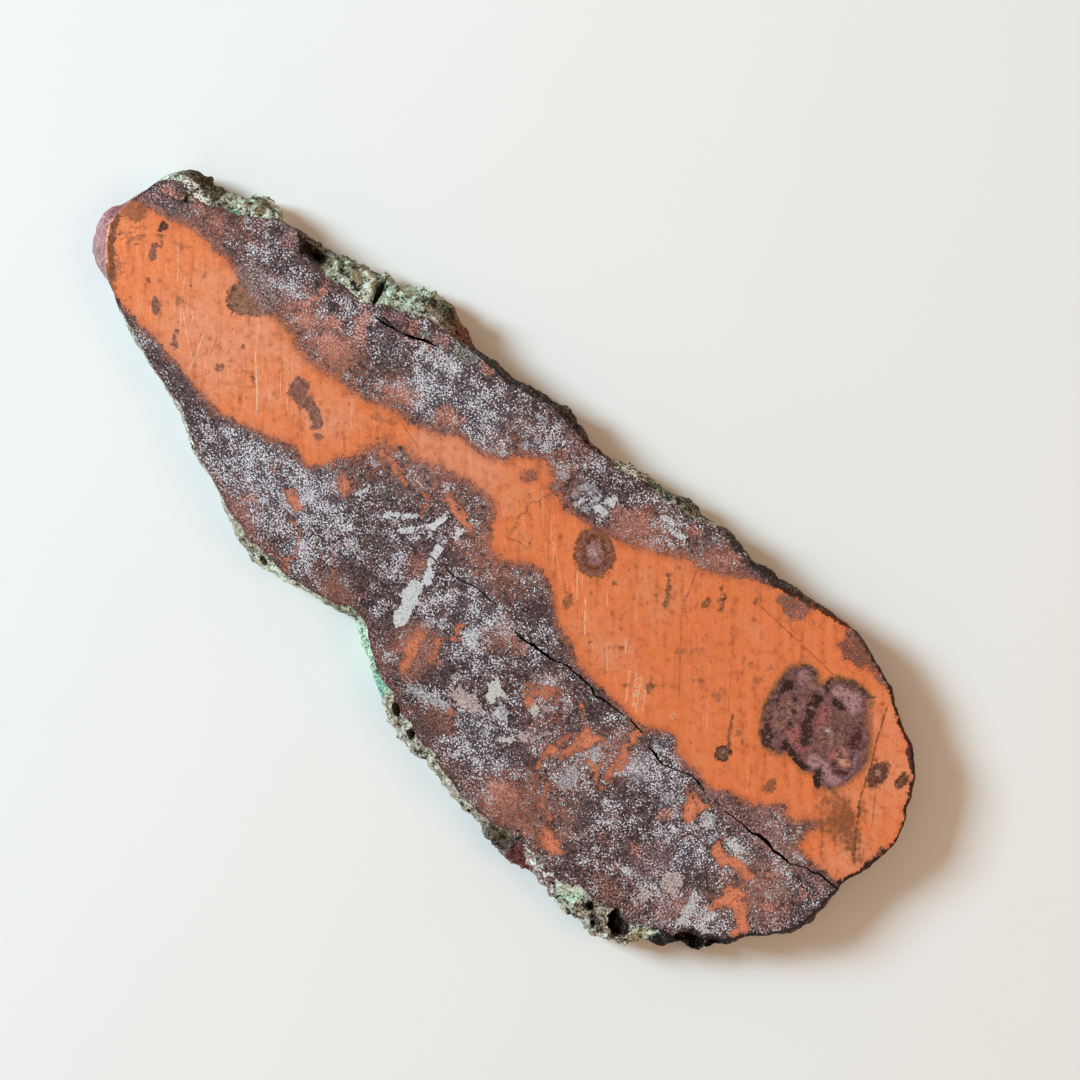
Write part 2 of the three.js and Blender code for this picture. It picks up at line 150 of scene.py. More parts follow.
# The copper band's two edges, both from the narrow tip to the wide end
BAND_UPPER = [
    (-84.6, 4.4), (-82.5, 5), (-80.5, 5.5), (-78.5, 5.8), (-77, 6.3), (-75.5, 7), (-74, 7.6), (-72, 7.8),
    (-70, 7.8), (-68.5, 7.4), (-67.3, 7.7), (-66, 7.8), (-64, 7.4), (-62.3, 7), (-60.5, 6.6), (-58.6, 6),
    (-57, 5.4), (-55.2, 5.2), (-54, 5.6), (-53, 6), (-51.5, 6.2), (-50, 6), (-48.5, 5.8), (-47, 5),
    (-46, 4.7), (-44.5, 4.5), (-43, 4.3), (-41.5, 4.6), (-40, 5), (-38, 5.3), (-36, 5.7), (-34.5, 5.6),
    (-33, 6), (-31.5, 6.4), (-30, 7), (-28, 7.7), (-26, 8.4), (-24.5, 8.5), (-23, 8.7), (-21.5, 9.2),
    (-20, 9.7), (-18.5, 10.4), (-17, 11.4), (-15.8, 12.6), (-14.5, 13.1), (-13, 12.9), (-11.5, 13.1),
    (-10, 13.3), (-8.5, 14), (-7, 14.8), (-6, 15.3), (-5.6, 16.6), (-4.8, 17.6), (-3.5, 18.6), (-2.2, 19.5),
    (-1, 20.2), (0.2, 19.6), (1.2, 19), (2, 18.3), (2, 16.7), (3.5, 16.9), (5, 17.3), (6, 16.6), (6.8, 16),
    (8, 16.3), (9.5, 16.7), (11, 16.9), (12.5, 17.2), (17.5, 18.6), (19, 18.9), (20.5, 19.5), (22, 20.6),
    (23.5, 21.4), (25, 21.9), (26.5, 22.9), (28, 24.1), (29.5, 24.6), (31, 24.5), (32.3, 25), (33.5, 25.5),
    (35, 26.5), (36, 27), (37.2, 27.8), (38.2, 28.8), (39.5, 29.6), (41, 30.3), (42.5, 31), (44, 31.7),
]
BAND_LOWER = [
    (-79, -8), (-76, -9.5), (-73, -10.3), (-70.5, -10.1), (-69, -10.6), (-67.5, -10.4), (-66, -10.4),
    (-64, -10.6), (-62, -10.9), (-59, -11), (-57.5, -11.5), (-56, -11.7), (-52, -11.9), (-50, -12.1),
    (-48.5, -12.3), (-46.5, -11.7), (-45, -11.3), (-43.5, -10.7), (-42, -10.3), (-40.5, -9.7),
    (-39.2, -9.6), (-38.5, -8.9), (-37.5, -8.5), (-36, -8.3), (-35, -7.7), (-33.7, -8), (-32.5, -8.2),
    (-31, -8.6), (-30.2, -8), (-29.6, -7.1), (-28.9, -6.2), (-28.3, -5.2), (-28.6, -4.2), (-27.6, -3.7),
    (-27, -2.8), (-26.4, -2.1), (-26, -1.2), (-26.3, -0.3), (-25.8, 0.5), (-25.2, 1.2), (-25, 2.5),
    (-24.9, 3.2), (-24.3, 4), (-23.3, 4.3), (-22.3, 3.9), (-21.9, 4.9), (-21, 5.4), (-20, 5.4),
    (-18.8, 5.1), (-17.5, 5.5), (-16.3, 6.2), (-15.3, 6.6), (-14.6, 7.2), (-13.5, 7.6), (-12.3, 7.7),
    (-11, 8.1), (-9.8, 8.6), (-8.5, 8.8), (-7.2, 8.8), (-6, 9.2), (-4, 9.1), (-3, 9), (-2, 8.7), (-1, 7.5),
    (-0.3, 6.3), (0.3, 5.2), (1, 4.3), (1.8, 3.3), (2.8, 2.8), (4, 2.6), (5.2, 2.9), (6.2, 3.3), (7, 3.9),
    (7.8, 4.8), (8.8, 5.3), (10, 5.6), (11.2, 6), (12.5, 5.7), (13.5, 5.5), (14.7, 5), (15.8, 4.3),
    (16.8, 3.5), (17.8, 2.5), (18.8, 1.8), (20, 1), (21.5, 0.6), (23, 0.5), (24.3, 0), (25.5, -0.8),
    (27, -1.7), (28.5, -1.7), (30, -2), (38, -2), (40, -2.1), (42, -2), (43.5, -1.5), (45.3, -0.4),
    (46.3, 0.2), (47.5, 0.6), (48.7, 0.5), (49.6, -0.3), (50.2, -1), (51.5, -1.3), (53, -1.5), (55, -1.3),
    (57, -1.8), (59, -1.7), (60.3, -0.8), (61.5, 0), (63.5, 0.5), (65, 0.8), (66.5, 1.8), (67.8, 2.6),
    (68.8, 3.6), (69.5, 4.8), (70.3, 5.2), (71.2, 4.6), (72, 3.8), (73, 4.2), (74, 4.6), (74.8, 5.6),
    (75.3, 6.4), (76.2, 6.9), (77, 6.6), (77, 5.3), (76.6, 3.8), (77, 2), (77.2, 1), (78.5, 0.9), (80, 1),
    (82, 0.9), (83.5, 1.4), (85, 1.2), (86.5, 1.9), (87.2, 2.2),
]
# What closes the band beyond the slab's two ends
PAST_WIDE_END = [(44, 38), (75, 42), (96, 26), (96, 2.4)]
PAST_NARROW_TIP = [(-80, -12), (-92, -9), (-92, 4.4)]

# Copper that comes up again through the lower rock, as outlines
COPPER_ISLANDS = [
    [(56.3, -4.5), (60.8, -4.2), (60.9, -6), (60.2, -8.3), (58.5, -8.5), (57.3, -7)],
    [(66.2, -6.8), (67.5, -7.6), (69, -8.2), (71.5, -7.5), (74, -8), (75.5, -8.8), (73, -9.6), (70, -9.9),
     (67.5, -10.3), (66, -9.4)],
    [(72.6, -12.2), (75, -11.3), (77.2, -12.3), (78.3, -14.2), (80.8, -15.5), (80, -17.5), (78.6, -18.6),
     (78.4, -16.5), (76.8, -14.8), (74.5, -15.5), (73, -17.5), (71.8, -18.3), (72.8, -15.5), (73.2, -13.6)],
    [(35.5, -9.2), (37, -9), (39, -8.3), (39.3, -9.5), (38.4, -11), (37.4, -12.3), (36.8, -14.5), (36, -16),
     (35.8, -13.5), (36.2, -11)],
    [(42.5, -27), (45, -26.3), (47.5, -27.4), (47, -29.5), (44, -29.3)],
    [(2.7, -17), (4.5, -16.8), (5.4, -19), (5.3, -21), (6.6, -23.5), (7.2, -24.6), (6, -24.2), (4.5, -22),
     (3, -19.7)],
    [(6.6, -15), (7.6, -15.2), (8, -17), (8.4, -19), (7.6, -19.4), (7.2, -17.3), (6.7, -16.2)],
    [(33, -15), (34.8, -14.6), (34.6, -17.3), (33.4, -17)],
    [(-25, -6), (-23.8, -5.7), (-23, -6.8), (-22.5, -7.8), (-24.5, -7.6)],
]
# Thin threads of copper in the rock: width, then the points along each
COPPER_THREADS = [
    (1.3, [(-9.4, 3.6), (-6, 2.9), (-2.4, 2.6)]),
    (0.6, [(-12.6, 1.6), (-11, 0.2), (-10.2, -1.2)]),
    (0.8, [(-23, 3.4), (-21, 2.2), (-19, 1.3), (-16.6, 0.7)]),
    (0.6, [(27.6, -8), (25.6, -9.6), (23.6, -11.6)]),
    (1.2, [(42.7, -3.4), (43.8, -8), (44.4, -12)]),
    (0.7, [(33, -6.5), (34.6, -8.2), (36, -9.5)]),
    (1.2, [(40.5, -13), (42.4, -13.4), (44.3, -14.5)]),
    (0.8, [(-23.2, 2.3), (-18.8, 2.3)]),
    (0.9, [(24.6, -11), (25.6, -13)]),
    (0.8, [(7.5, -11), (8.8, -13.5)]),
    (0.9, [(-30, -14.2), (-27, -15.2)]),
    (0.35, [(-28, -17), (-24.5, -18), (-23, -19.7), (-22.3, -22), (-21.5, -25)]),
    (0.35, [(-17.5, -16.5), (-14.5, -19.5), (-12.5, -21.5)]),
    (0.5, [(37, -21), (39.6, -23.5), (42.5, -25.6)]),
    (0.4, [(34.5, -12), (33.6, -18), (36, -23)]),
    (0.4, [(16, -22.4), (17.4, -23.4), (18.6, -24.6)]),
]
# Rock that comes up through the copper, as outlines
ROCK_IN_COPPER = [
    [(45, 31), (45.8, 29.4), (47.6, 28.8), (49.6, 29.8), (50.8, 31.8), (50.4, 34), (45.5, 33)],
    [(57.4, 34.6), (58.2, 31.8), (60.4, 30.6), (63, 31), (64.6, 32.2), (67.4, 32), (70.3, 32), (66, 36),
     (58, 37)],
    [(-1.5, 18.2), (-0.3, 17.6), (0.1, 16.2), (-0.6, 15.2), (-2.2, 14.8), (-2.6, 15.6), (-1.9, 16.6)],
]

# Cracks that open on the polished face: width at the middle, depth, and the points along each
CRACKS = [
    (0.5, 2.2, [(-39.9, 18.4), (-38.2, 18.5), (-36.6, 19.0), (-34.9, 19.4)]),
    (0.55, 2.2, [(-34.4, 19.5), (-33.0, 20.0), (-31.6, 20.8), (-30.4, 21.4), (-28.8, 21.8)]),
    (0.42, 2.4,
     [(15.2, -5.1), (17, -5.3), (18.5, -5), (20, -4.7), (21.5, -4.6), (23, -4.4), (24.3, -4), (25, -3.6)]),
    (0.28, 2.2,
     [(25, -3.6), (26, -3.3), (27.5, -3.4), (29, -3.25), (31, -3.2), (32, -3.4), (32.8, -3.8),
      (33.3, -3.9), (34.2, -3.5), (35.5, -3.3), (37, -3.1), (39, -3)]),
    (0.24, 1.8, [(40.5, -2.7), (42.5, -2.9), (43.5, -2.9)]),
    (0.32, 1.8, [(46.2, -4), (47.5, -4.1), (48.7, -4.5), (49.8, -4.6)]),
    (0.26, 1.8, [(54.8, -2.5), (56.5, -2.6), (58.2, -2.9)]),
    (0.5, 2.6,
     [(67.5, -2.6), (69, -2.8), (70.5, -2.3), (72, -2.1), (73.5, -2.2), (74.5, -2.4), (75.5, -2.2),
      (76.5, -2.1), (78, -2.1)]),
    (0.28, 2.0, [(80.5, -0.7), (82, -0.5), (82.8, 0.1), (84, 0.2), (85.3, 0.2), (86.5, 0.3), (87.3, 0.4)]),
]
# Cracks too fine to open, as the points along each. On the face, these and the open cracks get a thin black
# line of painted shade
HAIRLINES = [
    [(-1.2, -5.3), (0.5, -5.4), (1.5, -5.2), (3, -4.9), (4, -4.5), (4.8, -4.2), (6.5, -4.1), (8.5, -4.1)],
    [(60.8, -3), (62, -2.9)],
    [(-38.7, 19.4), (-37, 19.3)],
    [(-4.6, -5.6), (-3, -5.6)],
    [(46.2, -4), (49.8, -4.6), (52.5, -3.6), (54.8, -2.5)],
    [(63.5, -3.1), (67.5, -2.6)],
    [(78, -2.1), (80.5, -0.7)],
]

# Long bright scratches: how strong, then the points along each
SCRATCHES = [
    (0.6, [(-69, 0.8), (-66.6, -2.6), (-63.5, -6.3)]), (0.8, [(-59.8, -4.2), (-58, -8.5), (-57.2, -11.2)]),
    (1.0, [(-51, -0.5), (-46, -5.3), (-43.5, -8.3)]), (0.5, [(-43.5, -0.5), (-40, -4)]),
    (0.6, [(16, 10), (19.5, 6.2)]), (1.0, [(20.5, 7.3), (24.5, 2.8)]), (0.8, [(28.4, 4.1), (31.6, 1)]),
    (1.0, [(30.5, 7), (31.9, 5.3)]), (0.8, [(34.6, 3.4), (37.9, -1.1)]), (1.0, [(35.5, 4.2), (39.2, -0.6)]),
    (0.8, [(36.6, 4.4), (40.2, -0.9)]), (0.6, [(38, 4.2), (41, 0)]), (0.6, [(9.5, 10.8), (12.8, 7.3)]),
    (0.5, [(22.6, 10.5), (24, 9)]), (0.5, [(-75, 5.5), (-69.5, -0.5)]), (0.4, [(-55, 4.5), (-49, -2.5)]),
    (0.5, [(2, 16), (6.5, 11.5)]), (0.4, [(48, 9), (51.5, 5)]), (0.4, [(26, 14.5), (29.5, 10.5)]),
    (0.5, [(-12, 12.6), (-9, 9.6)]), (0.4, [(60, 6.5), (64, 2)]), (0.5, [(-33, 5), (-29.6, 1)]),
]

# Long dark scores: how strong, then the points along each
SCORES = [
    (0.9, [(71.8, 29.4), (74.4, 24), (77.2, 19.2), (79.3, 14.3), (82, 10.8), (85.3, 6.3)]),
    (0.6, [(31.3, 24), (32.2, 22), (32.8, 20.5), (33.5, 18.8), (34.6, 17.6), (35.8, 17)]),
    (0.8, [(36.4, 25.4), (38.8, 21.6)]),
    (0.7, [(37.6, 24.8), (39.6, 21.8)]),
    (0.5, [(44, 27.3), (52, 27.3), (61, 27.2)]),
    (0.8, [(53, 10.2), (54.4, 7.6), (56.4, 5.6)]),
    (0.5, [(80.6, 17), (84, 12.4)]),
    (0.4, [(-57.6, -3), (-56.4, -6.4)]),
    (0.3, [(-70.6, 4.6), (-64.6, -2.6)]),
    (0.25, [(-46, 3), (-40, -3.6)]),
    (0.3, [(4, 16), (12, 7)]),
    (0.3, [(30, 22), (44, 6)]),
    (0.3, [(50, 32), (56, 24)]),
    (0.3, [(44, 20), (52, 10)]),
    (0.35, [(-24, 8), (-18, 6.6)]),
    (0.3, [(62, 8.6), (66, 3.4)]),
]

# Hollows in the rim: the middle of each, its half sizes and its turn in degrees
HOLLOWS = [
    ((-55.3, 19.3, 8.2), (2.7, 1.1, 4.2), 8), ((-42.6, 22.2, 7.6), (0.55, 3.0, 2.6), 22),
    ((-25.4, -26.2, 8.4), (1.2, 0.7, 3.6), -20), ((-48.0, -20.3, 8.6), (0.8, 0.6, 2.2), -30),
    ((9.4, -29.3, 7.6), (1.5, 0.75, 3.6), -34), ((14.2, -30.6, 7.2), (1.2, 0.85, 3.4), -48),
    ((57.6, -31.3, 7.6), (0.9, 0.7, 3.0), -50), ((59.9, -33.0, 6.4), (0.95, 0.75, 2.6), -12),
    ((62.9, -30.4, 6.6), (2.6, 1.7, 4.6), -34), ((74.2, -24.2, 6.4), (3.0, 1.9, 4.0), 40),
    ((78.2, -21.6, 5.8), (1.8, 1.0, 3.4), 34), ((29.0, -33.6, 7.2), (0.6, 0.5, 1.4), 0),
    ((30.9, -33.7, 7.0), (0.6, 0.5, 1.4), 0), ((59.0, -32.4, 7.2), (0.5, 0.4, 1.2), 0),
    ((56.7, -34.9, 5.6), (0.9, 0.5, 1.6), 10), ((-69.3, -13.1, 8.2), (0.6, 0.5, 1.6), 0),
]


def tint(red, green, blue):
    """A colour as the eye reads it, 0 to 255, turned into the light it sends back."""
    shares = (red / 255, green / 255, blue / 255)
    return tuple(((c + 0.055) / 1.055) ** 2.4 if c > 10 / 255 else c / 12.92 for c in shares)


# Colours of the skin on the rim
LILAC = tint(148, 90, 90)
HEATHER = tint(174, 134, 132)
CREAM = tint(188, 180, 162)
SAGE = tint(184, 193, 170)
MOSS = tint(118, 123, 100)
DARK_BROWN_AND_SHADE = tint(34, 26, 24)
OLIVE = tint(116, 105, 82)
RUSSET = tint(106, 62, 46)
MAROON = tint(92, 42, 42)
MINT = tint(164, 186, 156)
TEAL = tint(96, 158, 136)
BARK = tint(66, 56, 38)
BLACK_MARK_AND_SHADE = tint(30, 21, 19)
STONE = tint(132, 121, 108)
CHALK = tint(206, 200, 190)

# Stretches of the rim: middle, how far it reaches, main colour and second colour
# Along the upper side, round the wide end and in the hollows the near-black is partly the skin's own dark
# brown and partly painted shade, as these lie away from the window
SKIN = [
    (-86, 1.6, 3, LILAC, LILAC),
    (-86, -2, 4, LILAC, HEATHER),
    (-83, -7, 4, HEATHER, LILAC),
    (-84, 11, 3, SAGE, CREAM),
    (-78, 15.6, 3.4, BARK, OLIVE),
    (-70, 18, 4, SAGE, OLIVE),
    (-66, 20, 2.4, CREAM, SAGE),
    (-61, 20, 1.6, RUSSET, DARK_BROWN_AND_SHADE),
    (-56, 20, 3, DARK_BROWN_AND_SHADE, OLIVE),
    (-50, 22, 3, SAGE, MOSS),
    (-46, 23, 3, SAGE, CREAM),
    (-40, 24, 3.4, SAGE, MOSS),
    (-36, 27, 3, MOSS, SAGE),
    (-31, 28, 3, OLIVE, RUSSET),
    (-26, 27, 2, RUSSET, DARK_BROWN_AND_SHADE),
    (-16, 27, 7, DARK_BROWN_AND_SHADE, BARK),
    (-4, 29, 6, DARK_BROWN_AND_SHADE, BARK),
    (4, 28, 4, DARK_BROWN_AND_SHADE, RUSSET),
    (11, 30, 3, BARK, CREAM),
    (18, 31, 5, DARK_BROWN_AND_SHADE, MOSS),
    (26, 32, 4, BARK, STONE),
    (38, 33, 8, DARK_BROWN_AND_SHADE, BARK),
    (52, 35, 8, DARK_BROWN_AND_SHADE, RUSSET),
    (66, 34, 8, DARK_BROWN_AND_SHADE, MAROON),
    (80, 27, 7, DARK_BROWN_AND_SHADE, LILAC),
    (88, 12, 8, DARK_BROWN_AND_SHADE, MAROON),
    (88, -4, 7, RUSSET, DARK_BROWN_AND_SHADE),
    (83, -15, 5, DARK_BROWN_AND_SHADE, STONE),
    (77, -22, 3, DARK_BROWN_AND_SHADE, BLACK_MARK_AND_SHADE),
    (72.4, -25.6, 3, BLACK_MARK_AND_SHADE, DARK_BROWN_AND_SHADE),
    (67, -31, 3, STONE, CREAM),
    (62, -34, 3, OLIVE, CREAM),
    (57, -33, 2.6, CREAM, OLIVE),
    (53.5, -32.5, 2, MINT, CREAM),
    (48.5, -33, 2.6, CHALK, MAROON),
    (44, -34, 2, MAROON, LILAC),
    (38, -34, 3, STONE, DARK_BROWN_AND_SHADE),
    (29, -34, 4, CREAM, STONE),
    (21, -33, 3, CREAM, OLIVE),
    (13, -32, 3, CREAM, STONE),
    (8, -30, 2, CREAM, OLIVE),
    (4, -28.6, 2, TEAL, MINT),
    (-2, -25.6, 3, MINT, SAGE),
    (-9, -24, 3, OLIVE, SAGE),
    (-20, -26.6, 6, CREAM, SAGE),
    (-28, -27.6, 4, CREAM, OLIVE),
    (-36, -25, 4, CREAM, STONE),
    (-48, -20.6, 6, STONE, CREAM),
    (-62, -15, 7, CREAM, STONE),
    (-74, -11.4, 5, STONE, CREAM),
]

# Marks on the skin of the rim, drawn the same way as the marks on the polished face
RIM_MARKS = [
    ("stroke", MAROON, 0.4, 0.6, (1.1, [(-86, 3), (-86.2, 0.8)])),
    ("stroke", STONE, 0.5, 0.5, (0.9, [(-85.2, -6.2), (-82.8, -8.2), (-79.8, -9.6)])),
    ("stroke", BARK, 0.9, 0.5, (1.6, [(-82, 15), (-79, 15.9), (-75.5, 15.6)])),
    ("spot", CHALK, 0.95, 0.4, (-79.2, 13.1, 1.4, 1.0, 10)),
    ("spot", CHALK, 0.95, 0.4, (-76.2, 12.7, 1.5, 0.9, 0)),
    ("stroke", BARK, 0.8, 0.5, (1.0, [(-71.5, 18.8), (-68.5, 20.3), (-65, 20.7)])),
    ("spot", TEAL, 0.8, 0.3, (-70.4, 15, 0.9, 0.5, 20)),
    ("spot", CREAM, 0.9, 0.4, (-63.6, 19.7, 1.3, 0.5, -10)),
    # Painted shade: this black patch darkens the hollow in the upper rim
    ("patch", BLACK_MARK_AND_SHADE, 1.0, 0.4,
     [(-59.3, 20.2), (-56, 20.4), (-53, 20.6), (-52.6, 18.6), (-54, 17.7), (-57.5, 17.6), (-58.6, 18.6)]),
    ("stroke", BARK, 0.9, 0.4, (1.6, [(-44.6, 24.4), (-43.4, 22.6), (-42.2, 20.2)])),
    ("stroke", BARK, 0.7, 0.4, (1.2, [(-51, 23), (-47, 24.4), (-43, 25.2)])),
    ("patch", BARK, 0.9, 0.5,
     [(-37.5, 27.4), (-34, 28.6), (-30, 28.8), (-27, 27.6), (-28, 26), (-31.5, 26.2), (-33.8, 27),
      (-36.5, 26.6)]),
    ("patch", RUSSET, 0.9, 0.5, [(-29, 28.2), (-27, 28), (-24.5, 26.2), (-26.5, 25.4), (-28.5, 26.2)]),
    ("stroke", CREAM, 0.8, 0.25, (0.4, [(-33.2, 25.3), (-29.7, 25)])),
    ("stroke", BARK, 0.6, 0.4, (0.6, [(-49.6, 22.4), (-49.2, 19)])),
    ("stroke", CREAM, 0.8, 0.3, (0.7, [(8.4, 29.2), (10.4, 28.6), (12, 29.4)])),
    ("spot", CREAM, 0.8, 0.3, (20, 30.4, 0.5, 0.7, 0)),
    ("spot", CREAM, 0.8, 0.3, (27.8, 31.8, 0.9, 0.5, 10)),
    ("spot", CREAM, 0.8, 0.3, (35.5, 32.2, 0.4, 0.4, 0)),
    ("stroke", MINT, 0.9, 0.3, (0.9, [(-6.2, -22.3), (-2, -24.6), (2.5, -27)])),
    ("stroke", TEAL, 0.9, 0.3, (1.1, [(3.8, -28.4), (8, -30.6)])),
    ("stroke", CHALK, 0.9, 0.2, (0.35, [(6.2, -26.4), (7, -27.4), (9, -28.1), (11, -29.4)])),
    ("stroke", CHALK, 0.9, 0.2, (0.35, [(12.3, -28.6), (13.6, -29.1), (15, -30.5)])),
    ("patch", BARK, 0.8, 0.5,
     [(35, -32.4), (37.6, -31.8), (40.2, -31.4), (40.4, -34), (38.6, -35.2), (36, -34.4)]),
    ("patch", MAROON, 0.95, 0.4,
     [(40.4, -31.2), (42.6, -30.8), (44.8, -33), (46.2, -33.9), (44, -34.9), (41, -35.4), (40, -33.6)]),
    ("stroke", CHALK, 0.95, 0.3, (1.1, [(43, -30.8), (44.8, -32.6)])),
    ("spot", LILAC, 0.9, 0.3, (48.8, -34.6, 0.9, 0.5, -10)),
    ("patch", MINT, 0.95, 0.4,
     [(52, -29.6), (54.5, -29.6), (55.6, -31), (55, -33.2), (53, -33.4), (51.9, -31)]),
    ("patch", CHALK, 0.8, 0.4, [(52.6, -30.4), (54.3, -30.2), (54.8, -31.6), (53.6, -32.4)]),
    ("stroke", CHALK, 0.95, 0.25, (0.4, [(55.3, -29.4), (58.1, -31)])),
    # Painted shade: the black spots, stroke and patches from here to the end darken the rim's hollows near
    # the wide end
    ("spot", BLACK_MARK_AND_SHADE, 0.95, 0.3, (57.4, -31.3, 0.8, 0.8, 0)),
    ("spot", DARK_BROWN_AND_SHADE, 0.9, 0.3, (59.9, -32.8, 1.0, 0.9, 0)),
    ("stroke", BLACK_MARK_AND_SHADE, 0.9, 0.3, (0.9, [(55.6, -35.2), (57.2, -35.7)])),
    ("patch", BLACK_MARK_AND_SHADE, 1.0, 0.3,
     [(61.2, -27.9), (63.4, -28.6), (65.4, -29.4), (66, -31), (63.8, -32.4), (62, -30.6)]),
    ("patch", SAGE, 0.9, 0.4,
     [(65.4, -27.6), (68, -26.4), (69.8, -26), (69.4, -28.2), (67.4, -30), (66, -29.6)]),
    ("patch", BLACK_MARK_AND_SHADE, 1.0, 0.3,
     [(69.4, -27.6), (70.6, -25), (71.6, -23.6), (73, -21.8), (76.8, -21.4), (76.6, -24.4), (74, -26.4),
      (71.6, -28), (70.4, -29.4), (68.6, -30.4), (68.8, -29)]),
    ("spot", SAGE, 0.9, 0.3, (77.3, -23.4, 0.5, 0.9, 0)),
    ("patch", BLACK_MARK_AND_SHADE, 1.0, 0.3,
     [(76.6, -20.4), (78.4, -19.4), (80.4, -18), (80.6, -19.8), (79, -21.4), (77.4, -22.2)]),
]

# Where the rock is thick with pale specks (above 0) or dark and close (below 0): middle, reach, strength
SPECKLED = [
    (-60, 13, 5, 0.6), (-53, 12.6, 3.4, 0.6), (-42, 16, 4, 0.5), (-25, 17, 7, 1.6), (-13, 18.5, 5, 1.1),
    (-38, -16, 6, 1.0), (-26, -12, 6, 1.5), (-16, -13, 4, 0.4), (4, -5, 5, 0.8), (11, -7, 4, 0.9),
    (3, -12, 4, 0.5), (20, -3, 4, 0.3), (-15.8, 2.5, 2.6, 0.9), (47.5, -8, 3, 0.6), (11, -13, 4, 0.8),
    (24, -26, 4, 0.9), (19.6, -21.6, 2.6, 1.1), (30, -24, 2.4, 1.0), (25, -21, 4, 0.8), (47, -7, 4, 0.8),
    (39, -17, 4, 0.7), (-45, -14, 5, 0.7), (62, -13.5, 5, 1.7), (63, -20, 4, 0.7), (70, -6, 3, 0.8),
    (54, -8, 4, 0.9), (71, -20, 4, 0.8), (62, 32, 4, -1.2), (47, 31, 3, -1.0), (-32, -19, 4, 0.9),
    (-22, -21, 3, 0.9), (10, 26, 5, 0.5), (-4, 22.5, 4, 0.8), (22, 27, 4, 0.7), (-12.8, -10.5, 2.6, -0.7),
    (-10.5, -15.8, 2.6, -0.9), (-16, -20, 2.4, -0.6), (15.6, -27.4, 3.0, -1.3), (8, -21.5, 2.4, -0.8),
    (-0.5, -20, 2.4, -0.8), (61, -11, 1.6, -1.4), (46, -21, 2.2, -0.6), (30, -21.5, 2.8, -0.8),
    (-72, 10.5, 7, -0.7), (-32, 21.5, 5, -0.7), (8, 25, 3, -0.4), (-50, 18, 4, -0.6), (78, -7, 6, 0.4),
    (-60, -13, 6, -0.6), (30, 28.5, 5, -0.7), (52, -18, 4, 0.1), (34, -6, 4, -0.4), (-12, -21, 4, -0.8),
    (-52, 17.4, 3, -0.5), (36, -28, 5, -0.9), (57, -27, 5, -0.5), (66, -2, 4, -0.6), (-18, 2, 4, -0.3),
    (-38, 10.5, 5, -0.7), (17, 22, 3.4, -0.7), (40, -24, 4, -0.5), (-30, 12, 4, -0.5),
]

# Where the rock is warm with fine copper or rust: middle, reach, strength
WARM = [
    (-66, 13, 9, 0.35), (-50, 10, 5, 0.85), (-40, 8.6, 4, 1.1), (-28, 12, 4, 0.6), (-31, 20, 5, 0.3),
    (-34, -23, 5, 0.8), (-12.5, -22, 4, 0.9), (-5.2, -8, 2, 0.8), (15.5, -26.5, 4, 0.7), (8, -0.5, 6, 0.6),
    (0, 1, 5, 0.7), (-14, 3, 6, 0.6), (-22, 0, 3, 0.6), (36, -28, 6, 0.9), (27, -9, 3, 0.5),
    (15, -7, 3, 0.7), (42, -9, 4, 0.5), (45, -24, 6, 0.25), (52, -16, 5, 0.0), (62, -14, 6, 0.1),
    (77, -9, 6, 0.9), (3, -20, 5, 0.6), (-3, 12, 4, 0.3), (-8, 22, 6, 0.4), (20, 24, 6, 0.6),
    (34, 29, 5, 0.6), (-75, 9, 6, 0.5), (70, -20, 5, 0.4), (30, -15, 4, 0.5), (58, -24, 6, 0.3),
    (2, 22, 4, 0.4),
]

# Where the copper is pinker and paler: middle, reach, strength
BLUSH = [
    (-58, -3, 12, 1.0), (-12, 9, 9, 1.7), (80, 20, 6, 0.9), (84, 4, 6, 0.8), (-80, 0, 5, -0.4),
    (30, 16, 5, 0.5), (-35, 1, 8, 0.5), (72, 30, 5, 0.6), (28, 4, 5, 0.4),
]

# Where the copper is rubbed brown: middle, reach, strength
SMUDGED = [
    (79.6, 9.6, 3.2, 1.1), (76, 11.4, 2.4, 0.7), (83.6, 8, 2.6, 0.9), (86.4, 6.8, 2, 0.6),
    (78, 6.8, 2.2, 0.6), (73.4, 13.6, 2.4, 0.4), (81.4, 13.6, 1.6, 0.4),
]

# Where the copper's edge frays into grains: middle, reach, strength
FRAYED = [
    (-46, 6, 4, 1.0), (-38, 7, 5, 1.0), (-28, 9, 4, 0.8), (-18, 12, 4, 0.7), (-26, -1, 4, 1.0),
    (-24, 4, 3, 1.0), (-17, 5, 4, 0.9), (-10, 8, 4, 0.7), (-3, 9, 4, 0.8), (3, 3, 4, 0.6), (11, 5, 4, 0.6),
    (-35, -9, 4, 0.5), (5, 18, 4, 0.9), (20, 20, 4, 0.8), (30, 25, 5, 0.6), (24, 0, 5, 0.5),
    (75, 4, 6, 0.7), (66, 2, 4, 0.5), (-70, 8, 5, 0.3), (45, -8, 6, 0.6), (36, -13, 6, 0.6),
    (58, -6, 4, 0.5), (70, -9, 5, 0.4), (76, -15, 4, 0.3), (5, -19, 5, 0.6), (33, -27, 4, 0.7),
    (45, -28, 4, 0.7), (27, -9, 4, 0.8), (48, 31, 5, 0.8), (62, 33, 5, 0.8), (-8, 17, 4, 0.8),
    (-24, -7, 3, 1.0), (-50, -12, 4, 0.3), (40, -22, 6, 0.5),
]

# Where the skin is smooth and even: middle, reach, strength
SMOOTH_SKIN = [
    (-86.5, -0.5, 4, 1.4), (-83.5, -6, 3.4, 1.2), (-79, -9, 3, 0.6), (53.4, -31, 1.6, 0.7),
    (43, -33, 2, 0.5), (-3, -24.6, 3, 0.4), (3, -28, 2.5, 0.4),
]

